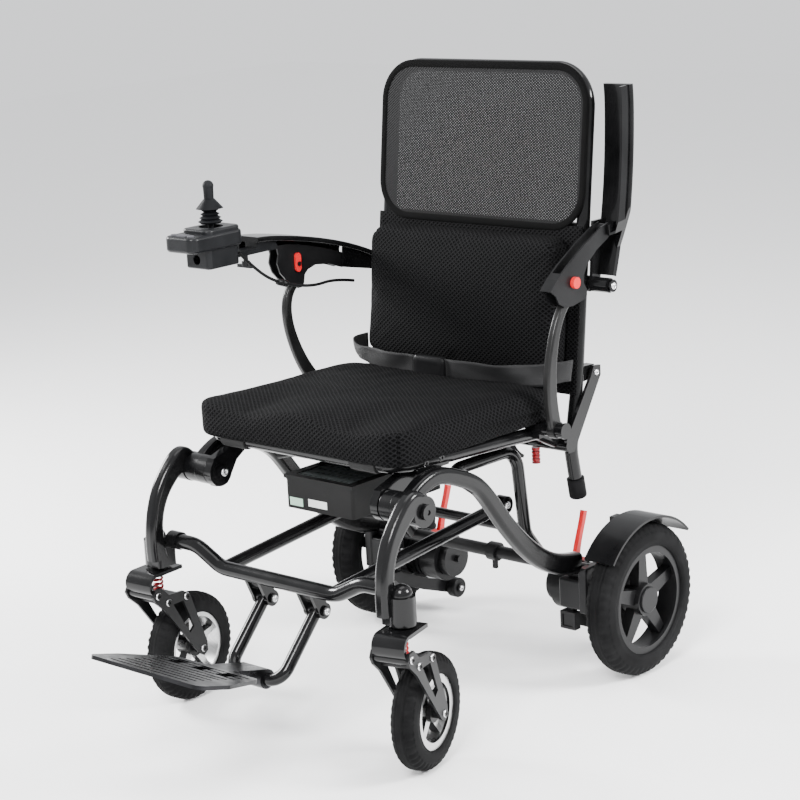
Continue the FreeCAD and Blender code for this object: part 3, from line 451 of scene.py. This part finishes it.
def tyre(name, centre, turn, radius, width, rim, tread, body, node_name, steps=216):
    """Moulded tyre with ribbed sidewalls, shoulder lugs and zigzag grooves."""
    half = width / 2
    section = []
    rows = 40
    wall = (radius - rim)
    for i in range(rows + 1):
        t = math.pi * i / rows
        across = -math.cos(t)
        bulge = math.copysign(abs(across) ** 0.78, across) * half
        rise = rim + wall * (math.sin(t) ** 0.52)
        section.append((rise, bulge, t))
    turned_axis = Matrix.Rotation(turn, 3, "Z")
    verts = []
    for s in range(steps):
        a = 2 * math.pi * s / steps
        for rise, bulge, t in section:
            depth = 0.0
            where = abs(bulge) / half
            beat = (a * tread / (2 * math.pi)) % 1.0
            shifted = (beat + (0.5 if bulge > 0 else 0.0)) % 1.0
            if rise > rim + wall * 0.62:
                if where > 0.42 and shifted < 0.3:
                    depth = 0.0022
                if 0.30 < where < 0.40:
                    depth = 0.0024
                if where < 0.07:
                    depth = 0.0018
                if 0.08 <= where <= 0.3 and (beat + where * 2.2) % 0.5 < 0.12:
                    depth = 0.0014
            elif rise > rim + wall * 0.44:
                depth = -0.0006 if shifted > 0.4 else 0.0
            r = rise - depth
            spot = Vector((bulge, r * math.sin(a), r * math.cos(a)))
            verts.append(Vector(centre) + turned_axis @ spot)
    count = len(section)
    faces = []
    for s in range(steps):
        n = (s + 1) % steps
        for k in range(count):
            m = (k + 1) % count
            faces.append((s * count + k, n * count + k, n * count + m, s * count + m))
    obj = mesh_object(name, verts, faces, TYRE, body)
    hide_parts(node_name)
    return obj


def caster_point(side, u, across, z):
    """A point beside one caster: u back along its trail, across to its outer side."""
    a = SWIVEL[side]
    x = side * STEM[0] - u * math.sin(a) + across * math.cos(a)
    y = STEM[1] + u * math.cos(a) + across * math.sin(a)
    return Vector((x, y, z))


for side, word, letter in SIDES:
    tyre("rear_tyre_moulded_" + word, (side * 0.2815, AXLE[0], AXLE[1]), 0.0, 0.128, 0.048, 0.091, 54,
         "rear_wheel_" + letter, "rear_tyre_" + word)
    hub = caster_point(side, TRAIL, 0, CASTER_R)
    tyre("front_tyre_moulded_" + word, hub, SWIVEL[side], CASTER_R, 0.040, 0.058, 44,
         "front_wheel_" + letter, "front_tyre_" + word, 176)

    def silver_zone(centre, normal, hub=hub, side=side):
        a = SWIVEL[side]
        axis = Vector((math.cos(a), math.sin(a), 0))
        away = centre - hub
        radial = (away - axis * away.dot(axis)).length
        facing = abs(normal.dot(axis)) > 0.5
        return radial > 0.0465 or (facing and abs(away.dot(axis)) > 0.0065 and radial > 0.017)

    repaint("front_rim_" + word, SILVER, silver_zone)

# ------------------------------------------------------------ springs, screws

for side, word, letter in SIDES:
    turns = 4.5
    points = []
    foot = caster_point(side, -0.004, 0, 0.2002)
    for i in range(int(turns * 12) + 1):
        a = 2 * math.pi * i / 12
        rise = 0.0018 + 0.0312 * i / (turns * 12)
        points.append(foot + Vector((0.0072 * math.cos(a), 0.0072 * math.sin(a), rise)))
    wire = curve_tube("coil_guide_" + word, points, 0.0019, DARK_RED, order=4, resolution=3)
    coil = new_object("caster_coil_" + word, bpy.data.meshes.new_from_object(wire))
    bpy.data.objects.remove(wire)
    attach(coil, "fork_" + letter)
    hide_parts("caster_spring_" + word)
    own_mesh(coil)

    a = SWIVEL[side]
    out = Vector((math.cos(a), math.sin(a), 0))
    bolts = ((-0.038, 0.207), (-0.016, 0.190), (0.026, 0.189), (TRAIL, CASTER_R))
    for number, (u, z) in enumerate(bolts):
        for face, sign in (("out", 1), ("in", -1)):
            place = caster_point(side, u, sign * 0.0322, z)
            screw("swing_screw_%s_%s_%d" % (word, face, number), place, out * sign,
                  "swing_" + letter, 0.0062)

    screw("link_screw_a_" + word, at(side * 207.2, -158, 450), (side, 0, 0), "seat", 0.0056)
    screw("link_screw_b_" + word, at(side * 207.2, -122, 450), (side, 0, 0), "seat", 0.0056)
    screw("pin_screw_" + word, at(side * 163.8, -222, 398), (-side, 0, 0), "rear_frame", 0.0068)
    screw("lug_screw_" + word, at(side * 225.2, 248, 508), (side, 0, 0), "seat", 0.0052)
    screw("sleeve_screw_" + word, at(side * 265.0, 248, 653), (side, 0, 0), "backrest", 0.0058)
    screw("block_screw_a_" + word, at(side * 185.6, 188, 146), (-side, 0, 0), "rear_frame", 0.0052)
    screw("block_screw_b_" + word, at(side * 185.6, 208, 146), (-side, 0, 0), "rear_frame", 0.0052)
    screw("roller_screw_" + word, at(side * 163.8, 339, 44), (-side, 0, 0), "rear_frame", 0.005)
    screw("rail_screw_" + word, at(side * 126.2, 128, 299), (side, 0, 0), "front_frame", 0.0062)
for x in (-56, 56):
    screw("foot_screw_%d" % x, at(x + 21.2, -255, 220), (1, 0, 0), "front_frame", 0.0056)

# ------------------------------------------------------------------- cushions


def block_grid(counts, shape):
    """Closed block of quads; shape(u, v, w) in -1..1 gives each surface point."""
    index = {}
    verts = []
    faces = []

    def vertex(i, j, k):
        key = (i, j, k)
        if key not in index:
            index[key] = len(verts)
            verts.append(shape(2 * i / counts[0] - 1, 2 * j / counts[1] - 1, 2 * k / counts[2] - 1))
        return index[key]

    def quad(*corners):
        faces.append([vertex(*corner) for corner in corners])

    nx, ny, nz = counts
    for i in range(nx):
        for j in range(ny):
            quad((i, j, nz), (i + 1, j, nz), (i + 1, j + 1, nz), (i, j + 1, nz))
            quad((i, j, 0), (i, j + 1, 0), (i + 1, j + 1, 0), (i + 1, j, 0))
    for i in range(nx):
        for k in range(nz):
            quad((i, 0, k), (i + 1, 0, k), (i + 1, 0, k + 1), (i, 0, k + 1))
            quad((i, ny, k), (i, ny, k + 1), (i + 1, ny, k + 1), (i + 1, ny, k))
    for j in range(ny):
        for k in range(nz):
            quad((0, j, k), (0, j, k + 1), (0, j + 1, k + 1), (0, j + 1, k))
            quad((nx, j, k), (nx, j + 1, k), (nx, j + 1, k + 1), (nx, j, k + 1))
    return verts, faces


def inflate(obj, pressure, still):
    """Cloth pressure on a closed cushion, held where still accepts a vertex, then applied."""
    group = obj.vertex_groups.new(name="held")
    for v in obj.data.vertices:
        if still(v.co):
            group.add([v.index], 1.0, "REPLACE")
    cloth = obj.modifiers.new("fill", "CLOTH")
    settings = cloth.settings
    settings.quality = 4
    settings.mass = 0.3
    settings.use_pressure = True
    settings.uniform_pressure_force = pressure
    settings.tension_stiffness = 24
    settings.compression_stiffness = 24
    settings.shear_stiffness = 10
    settings.bending_stiffness = 2.0
    settings.vertex_group_mass = "held"
    settings.effector_weights.gravity = 0
    cloth.collision_settings.use_collision = False
    cloth.point_cache.frame_start = 1
    cloth.point_cache.frame_end = CLOTH_FRAMES
    for number in range(1, CLOTH_FRAMES + 1):
        bpy.context.scene.frame_set(number)
    apply_modifiers(obj)
    bpy.context.scene.frame_set(1)


def ripple(obj, height):
    """Moves every vertex along its normal by height(point), with the normals read once beforehand."""
    moves = [(v.co.copy(), v.normal.copy()) for v in obj.data.vertices]
    flat = []
    for point, normal in moves:
        flat.extend(point + normal * height(point))
    obj.data.vertices.foreach_set("co", flat)
    obj.data.update()


def finish_pad(obj, height):
    """Subdivides a cushion once, gives it small unevenness and writes its texture coordinates."""
    soften = obj.modifiers.new("soft", "SUBSURF")
    soften.levels = soften.render_levels = 1
    apply_modifiers(obj)
    ripple(obj, height)
    box_uv(obj)
    smooth(obj)


def smoothstep(t):
    t = min(1, max(0, t))
    return t * t * (3 - 2 * t)


def rounded_block(u, v, w, half, edge, corner):
    """A point of a block with rolled edges and rounded plan corners, from cube coordinates."""
    raw = Vector((u * half[0], v * half[1], w * half[2]))
    core = Vector([math.copysign(min(abs(raw[k]), half[k] - edge), raw[k]) for k in range(3)])
    away = raw - core
    point = core + away.normalized() * edge if away.length > 1e-9 else raw
    inner_x = half[0] - corner
    inner_y = half[1] - corner
    dx = abs(point.x) - inner_x
    dy = abs(point.y) - inner_y
    if dx > 0 and dy > 0:
        scale = max(dx, dy) / math.hypot(dx, dy)
        point.x = math.copysign(inner_x + dx * scale, point.x)
        point.y = math.copysign(inner_y + dy * scale, point.y)
    return point


def spaced(t, half, edge):
    """Moves even grid steps so that the rolled edge gets its own share of them."""
    share = 0.12
    flat = 1 - edge / half
    if abs(t) <= 1 - share:
        return t / (1 - share) * flat
    return math.copysign(flat + (abs(t) - (1 - share)) / share * (1 - flat), t)


PAD_EDGE = 0.011            # radius of the rolled edge of both cushions
SEAT_HALF = (0.2215, 0.2035, 0.0285)
SEAT_MIDDLE = at(0, -28, 483)


def seat_shape(u, v, w):
    """Seat cushion: upright walls, rolled edges, two thigh troughs and a raised middle in front."""
    across = spaced(u, SEAT_HALF[0], PAD_EDGE)
    along = spaced(v, SEAT_HALF[1], PAD_EDGE)
    p = rounded_block(across, along, w, SEAT_HALF, PAD_EDGE, 0.040)
    flat_u = p.x / SEAT_HALF[0]
    flat_v = p.y / SEAT_HALF[1]
    if p.z > 0:
        front = smoothstep((-flat_v - 0.1) / 0.85)
        trough = math.exp(-((abs(flat_u) - 0.5) / 0.24) ** 2)
        ridge = math.exp(-(flat_u / 0.19) ** 2)
        crown = 0.004 * (1 - flat_u ** 2) * (1 - flat_v ** 2)
        p.z += (p.z / SEAT_HALF[2]) * (crown - 0.0115 * front * trough + 0.005 * front * ridge)
    p.z -= (p.y + SEAT_HALF[1]) * 0.035 * (1 if p.z > 0 else 0.2)
    return tuple(SEAT_MIDDLE + p)


verts, faces = block_grid((84, 78, 12), seat_shape)
seat = mesh_object("seat_pad", verts, faces, SEAT_MESH, None)
inflate(seat, 0.8, lambda p: p.z < SEAT_MIDDLE.z - 0.012)
finish_pad(seat, lambda p: noise.noise(p * 9) * 0.0012 + noise.noise(p * 28) * 0.0005)
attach(seat, "seat")
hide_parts("seat_cushion")


def leaned(x, ahead, z):
    """A point on the leaning back: x, distance ahead of the post line, height along it (millimetres)."""
    base = 254 + (z - 775) * 0.127
    return at(x, base - ahead * math.cos(LEAN), z + ahead * math.sin(LEAN) * -0.12)


PAD_HALF = (0.1985, 0.108, 0.0225)
PAD_MIDDLE_Z = 622.0


def back_shape(u, v, w):
    """Back cushion: upright walls, rounded corners and a lightly crowned front."""
    across = spaced(u, PAD_HALF[0], PAD_EDGE)
    along = spaced(v, PAD_HALF[1], PAD_EDGE)
    p = rounded_block(across, along, w, PAD_HALF, PAD_EDGE, 0.026)
    if p.z > 0:
        p.z += 0.0035 * (1 - (p.x / PAD_HALF[0]) ** 2) * (1 - (p.y / PAD_HALF[1]) ** 2)
    return tuple(leaned(p.x * 1000, 39.5 + p.z * 1000, PAD_MIDDLE_Z + p.y * 1000))


verts, faces = block_grid((80, 46, 10), back_shape)
back_pad = mesh_object("back_pad", verts, faces, BACK_PAD_MESH, None)
outward(back_pad)
inflate(back_pad, 0.8, lambda p: p.y > leaned(0, 30, p.z * 1000).y)
finish_pad(back_pad, lambda p: noise.noise(p * 11 + Vector((4, 0, 0))) * 0.0014)
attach(back_pad, "backrest")
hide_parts("back_cushion")
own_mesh(back_pad)

# --------------------------------------------------------------- back fabrics


def cloth_panel(name, half, z0, z1, ahead, material, sag, thick, counts=(60, 40)):
    """Thin fabric wall on the posts, pulled in at the middle, with small folds."""
    verts = []
    nx, nz = counts
    for side_at in (0, 1):
        for j in range(nz + 1):
            for i in range(nx + 1):
                u = 2 * i / nx - 1
                t = j / nz
                x = u * half
                z = z0 + (z1 - z0) * t
                bow = sag * (1 - u * u) * math.sin(math.pi * t)
                fold = 1.1 * noise.noise(Vector((u * 3.5, t * 2.2, 5))) * (1 - abs(u) ** 6)
                verts.append(leaned(x, ahead + side_at * thick - bow + fold, z))
    count = (nx + 1) * (nz + 1)
    faces = []
    for j in range(nz):
        for i in range(nx):
            a = j * (nx + 1) + i
            b = a + 1
            c = a + nx + 2
            d = a + nx + 1
            faces.append((a, b, c, d))
            faces.append((a + count, d + count, c + count, b + count))
    rim = [i for i in range(nx + 1)] + [(j + 1) * (nx + 1) - 1 for j in range(1, nz + 1)]
    rim += [nz * (nx + 1) + i for i in range(nx - 1, -1, -1)]
    rim += [j * (nx + 1) for j in range(nz - 1, 0, -1)]
    for a, b in zip(rim, rim[1:] + rim[:1]):
        faces.append((a, a + count, b + count, b))
    obj = mesh_object(name, verts, faces, material, None)
    outward(obj)
    box_uv(obj)
    return obj


sling = cloth_panel("back_sling_cloth", 217, 478, 746, 12.4, BACK_PAD_MESH, 1.0, 2.4)
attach(sling, "backrest")
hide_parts("back_sling")

# Net panel: a rounded band with two families of threads stretched across it
NET_HALF = 219.0
NET_Z0, NET_Z1 = 736.0, 1001.5
NET_CORNER = 66.0
BAND_W = 13.0


def inside_round(x, z, shrink):
    """True inside the rounded rectangle of the panel, shrunk by a margin."""
    cx = max(abs(x) - (NET_HALF - NET_CORNER), 0)
    zc = (NET_Z0 + NET_Z1) / 2
    cz = max(abs(z - zc) - ((NET_Z1 - NET_Z0) / 2 - NET_CORNER), 0)
    return math.hypot(cx, cz) <= NET_CORNER - shrink and abs(x) <= NET_HALF - shrink \
        and abs(z - zc) <= (NET_Z1 - NET_Z0) / 2 - shrink


def strand_spans(offset, slope):
    """Ends of one diagonal thread inside the band."""
    found = []
    for i in range(NET_STEPS + 1):
        x = -NET_HALF + 2 * NET_HALF * i / NET_STEPS
        z = (NET_Z0 + NET_Z1) / 2 + slope * x + offset
        if inside_round(x, z, BAND_W - 3):
            found.append((x, z))
    return (found[0], found[-1]) if len(found) > 2 else None


verts = []
faces = []
PITCH = 4.6
THREAD = 2.45
for slope in (0.8, -0.8):
    reach = 300
    steps = int(2 * reach / PITCH)
    for i in range(steps):
        span = strand_spans(-reach + i * PITCH, slope)
        if not span:
            continue
        (xa, za), (xb, zb) = span
        length = math.hypot(xb - xa, zb - za)
        px, pz = -(zb - za) / length * THREAD / 2, (xb - xa) / length * THREAD / 2
        lift = 0.35 if slope > 0 else -0.35
        base = len(verts)
        pieces_along = max(1, int(length / 40))
        for k in range(pieces_along + 1):
            t = k / pieces_along
            x = xa + (xb - xa) * t
            z = za + (zb - za) * t
            for ahead, sx in ((14.6 + lift, 1), (14.6 + lift, -1), (13.6 + lift, -1), (13.6 + lift, 1)):
                verts.append(leaned(x + px * sx, ahead, z + pz * sx))
        for k in range(pieces_along):
            for q in range(4):
                a = base + k * 4 + q
                b = base + k * 4 + (q + 1) % 4
                faces.append((a, b, b + 4, a + 4))
        faces.append((base, base + 3, base + 2, base + 1))
        end = base + pieces_along * 4
        faces.append((end, end + 1, end + 2, end + 3))
net = mesh_object("net_threads", verts, faces, NET, "backrest", rounded=False)


def round_outline(shrink, count=96):
    points = []
    zc = (NET_Z0 + NET_Z1) / 2
    radius = NET_CORNER - shrink
    for q, (sx, sz) in enumerate(((1, 1), (-1, 1), (-1, -1), (1, -1))):
        for i in range(count // 4):
            a = math.pi / 2 * (q + i / (count // 4 - 1))
            points.append((sx * (NET_HALF - NET_CORNER) + radius * math.cos(a),
                           zc + sz * ((NET_Z1 - NET_Z0) / 2 - NET_CORNER) + radius * math.sin(a)))
    return points


def band(name, outer, inner, front, rear, material, body):
    """Flat ring of fabric with rolled edges between two rounded outlines."""
    middle = (front + rear) / 2
    rings = ((outer, middle), (outer + 0.8, front - 0.4), (outer + 4, front), (inner - 2, front),
             (inner, middle), (inner - 2, rear), (outer + 4, rear), (outer + 0.8, rear + 0.4))
    verts = []
    for shrink, ahead in rings:
        for x, z in round_outline(shrink):
            verts.append(leaned(x, ahead, z))
    count = len(round_outline(0))
    faces = []
    for r in range(len(rings)):
        n = (r + 1) % len(rings)
        for i in range(count):
            j = (i + 1) % count
            faces.append((r * count + i, r * count + j, n * count + j, n * count + i))
    obj = mesh_object(name, verts, faces, material, None)
    outward(obj)
    box_uv(obj)
    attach(obj, body)
    return obj


border = band("net_border_band", 0.0, BAND_W, 15.8, 11.6, BAND, "backrest")
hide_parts("back_mesh")

# -------------------------------------------------------------------- battery


def slab(name, lo, hi, material, body, bevel):
    """Small plate with rounded edges, given by its two corners."""
    bm = bmesh.new()
    bmesh.ops.create_cube(bm, size=1.0)
    size = hi - lo
    for v in bm.verts:
        v.co = Vector((lo[k] + size[k] * (v.co[k] + 0.5) for k in range(3)))
    bmesh.ops.bevel(bm, geom=bm.edges[:], offset=bevel, segments=2, affect="EDGES")
    data = bpy.data.meshes.new(name)
    bm.to_mesh(data)
    bm.free()
    obj = new_object(name, data)
    data.materials.append(material)
    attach(obj, body)
    return obj


slab("battery_label_green", at(-64, -178.5, 349), at(-36, -178.0, 362), LABEL_GREEN, "seat", 0.0001)
slab("battery_label_white", at(-24, -178.5, 352), at(16, -178.0, 364), LABEL_WHITE, "seat", 0.0001)


def panel_zone(centre, normal):
    """The panel on top of the battery pack."""
    return 0.3955 < centre.z < 0.39775 and abs(centre.x) < 0.057 and normal.z > 0.5


repaint("battery_pack", PANEL, panel_zone)

# ---------------------------------------------------------------- lap straps


def strap_band(name, points, width, thick, material, body, node_name, twist):
    """Webbing strap laid along points with a slow roll and small waves."""
    guide = curve_tube(name + "_guide", points, 0, material)
    line = bpy.data.meshes.new_from_object(guide)
    path = [v.co.copy() for v in line.vertices]
    bpy.data.objects.remove(guide)
    verts = []
    rows = 9
    length = 0.0
    for i, p in enumerate(path):
        ahead = (path[min(i + 1, len(path) - 1)] - path[max(i - 1, 0)]).normalized()
        t = i / (len(path) - 1)
        up = Vector((0, 0, 1))
        up = (up - ahead * up.dot(ahead)).normalized()
        roll = Matrix.Rotation(twist(t), 3, ahead)
        up = roll @ up
        face = ahead.cross(up)
        length += (path[i] - path[i - 1]).length if i else 0
        free = 1 if 0.04 < t < 0.96 else 0
        for layer in (0, 1):
            for k in range(rows):
                s = k / (rows - 1) - 0.5
                wave = 0.0022 * noise.noise(Vector((length * 26, s * 2.0, 3)))
                wave += 0.002 * math.sin(length * 60 + s * 3)
                verts.append(p + up * width * s + face * (wave * free + (layer - 0.5) * thick))
    ring_size = rows * 2
    order = list(range(rows)) + [rows + k for k in range(rows - 1, -1, -1)]
    faces = []
    for i in range(len(path) - 1):
        low = i * ring_size
        high = low + ring_size
        for a, b in zip(order, order[1:] + order[:1]):
            faces.append((low + a, low + b, high + b, high + a))
    faces.append(tuple(order))
    faces.append(tuple((len(path) - 1) * ring_size + k for k in reversed(order)))
    obj = mesh_object(name, verts, faces, material, None)
    outward(obj)
    data = obj.data
    layer = data.uv_layers.new(name="size")
    for face in data.polygons:
        for loop in face.loop_indices:
            index = data.loops[loop].vertex_index
            layer.data[loop].uv = ((index % rows) / rows * width,
                                   (index // ring_size) / len(path) * length)
    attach(obj, body)
    if node_name:
        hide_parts(node_name)
    return obj


left_route = [at(30, 100, 521), at(80, 99, 522), at(130, 110, 520), at(176, 124, 521),
              at(206, 140, 523), at(218, 162, 524), at(220, 190, 522)]
right_route = [at(-30, 100, 521), at(-80, 100, 521), at(-130, 112, 520), at(-176, 126, 521),
               at(-206, 142, 524), at(-218, 164, 525), at(-220, 190, 523)]
left_strap = strap_band("strap_left", left_route, 0.035, 0.0018, BELT, "seat", "lap_straps",
                        lambda t: 0.2 * math.sin(t * 7))
right_strap = strap_band("strap_right", right_route, 0.035, 0.0018, BELT, "seat", None,
                         lambda t: -0.35 * math.sin(t * 3.0))
for strap in (left_strap, right_strap):
    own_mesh(strap)


def buckle_outline(grow, count=24):
    """Rounded outline of the buckle seen from the front, in metres."""
    half_x, half_z, corner = 0.033 - grow, 0.0195 - grow, 0.008
    points = []
    for q, (sx, sz) in enumerate(((1, 1), (-1, 1), (-1, -1), (1, -1))):
        for i in range(count // 4):
            a = math.pi / 2 * (q + i / (count // 4 - 1))
            points.append((sx * (half_x - corner) + corner * math.cos(a),
                           sz * (half_z - corner) + corner * math.sin(a)))
    return points


middle = at(0, 100, 521)
verts = []
rings = ((0.010, -0.0072), (0.003, -0.0078), (0.0, -0.005), (0.0, 0.004), (0.003, 0.0066), (0.010, 0.007))
for grow, out in rings:
    for x, z in buckle_outline(grow):
        waist = 1 - 0.16 * math.exp(-(x / 0.011) ** 2)
        verts.append(middle + Vector((x, out, z * waist)))
count = len(buckle_outline(0))
faces = [tuple(range(count)), tuple(reversed(range(len(verts) - count, len(verts))))]
for r in range(len(rings) - 1):
    for i in range(count):
        j = (i + 1) % count
        faces.append((r * count + i, (r + 1) * count + i, (r + 1) * count + j, r * count + j))
clasp = mesh_object("buckle_clasp", verts, faces, PLASTIC, None)
outward(clasp)
split_edges(clasp, 50)
apply_modifiers(clasp)
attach(clasp, "seat")
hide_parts("belt_buckle")
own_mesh(clasp)

# ------------------------------------------------------ sleeves on the front tube

for side, word, _ in SIDES:
    profile = [(0.0112, -0.026), (0.0136, -0.0255), (0.0142, -0.012), (0.0139, 0.004), (0.0143, 0.02),
               (0.0136, 0.0255), (0.0112, 0.026)]
    wrap = lathe("tube_sleeve_" + word, profile, at(side * 138, -212, 454), (1, 0, 0), HOOK, "seat")

# ----------------------------------------------------------------------- lead

LEAD_PTS = [at(CX + 24, -103.6, 728), at(CX + 26, -76, 700), at(CX + 28, -38, 672), at(CX + 31, 8, 656),
            at(CX + 31, 58, 646), at(CX + 30, 108, 649), at(CX + 29, 156, 638)]
lead = curve_tube("lead_cable", LEAD_PTS, 0.0026, SOFT_RUBBER, resolution=12)
plug_profile = [(0.0024, -0.012), (0.0048, -0.0115), (0.0058, -0.009), (0.0060, -0.001), (0.0054, 0.0),
                (0.0060, 0.001), (0.0058, 0.009), (0.0046, 0.0115), (0.0024, 0.012)]
plug = lathe("lead_connector", plug_profile, (LEAD_PTS[2] + LEAD_PTS[3]) / 2,
             LEAD_PTS[3] - LEAD_PTS[2], PLASTIC, "pad_r")
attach(lead, "pad_r")
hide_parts("controller_lead")

# ----------------------------------------------------------- camera and light


def aim(azimuth, pitch, roll):
    """Camera axes as a matrix whose columns are right, up and back."""
    a, e, r = (math.radians(v) for v in (azimuth, pitch, roll))
    back = Vector((math.sin(a) * math.cos(e), -math.cos(a) * math.cos(e), math.sin(e)))
    right = Vector((math.cos(a), math.sin(a), 0))
    up = back.cross(right)
    turned_right = right * math.cos(r) + up * math.sin(r)
    turned_up = up * math.cos(r) - right * math.sin(r)
    return Matrix((turned_right, turned_up, back)).transposed()


camera = new_object("camera", bpy.data.cameras.new("camera"))
camera.data.lens = 98.88
camera.data.sensor_width = 36
camera_at = Matrix.Translation(Vector((2.3147, -2.5248 + YC, 1.3137)))
camera.matrix_world = camera_at @ aim(42.2747, 13.5682, -3.1293).to_4x4()
bpy.context.scene.camera = camera

floor_mesh = bpy.data.meshes.new("floor")
floor_mesh.from_pydata([(-9, -9, 0), (9, -9, 0), (9, 9, 0), (-9, 9, 0)], [], [(0, 1, 2, 3)])
floor = new_object("floor", floor_mesh)
floor.location.z = -0.0008
pale = bpy.data.materials.new("pale_floor")
pale.use_nodes = True
pale.node_tree.nodes["Principled BSDF"].inputs["Base Color"].default_value = (0.96, 0.96, 0.96, 1)
pale.node_tree.nodes["Principled BSDF"].inputs["Roughness"].default_value = 0.9
floor.data.materials.append(pale)

world = bpy.data.worlds.new("studio")
bpy.context.scene.world = world
world.use_nodes = True
world.node_tree.nodes["Background"].inputs["Color"].default_value = (0.97, 0.98, 1, 1)
world.node_tree.nodes["Background"].inputs["Strength"].default_value = 1.25


def lamp(name, place, target, size, power):
    data = bpy.data.lights.new(name, "AREA")
    data.size = size
    data.energy = power
    obj = new_object(name, data)
    obj.location = place
    obj.rotation_euler = (Vector(target) - Vector(place)).to_track_quat("-Z", "Y").to_euler()


lamp("key", (1.2, -2.6, 2.8), (0, 0, 0.4), 1.3, 240)
lamp("left_strip", (-2.6, -0.6, 1.6), (0, 0, 0.5), 0.9, 170)
lamp("right_strip", (2.4, 1.2, 1.8), (0, 0.1, 0.5), 0.9, 170)
lamp("top", (0.0, 0.2, 3.2), (0, 0, 0.4), 2.2, 60)
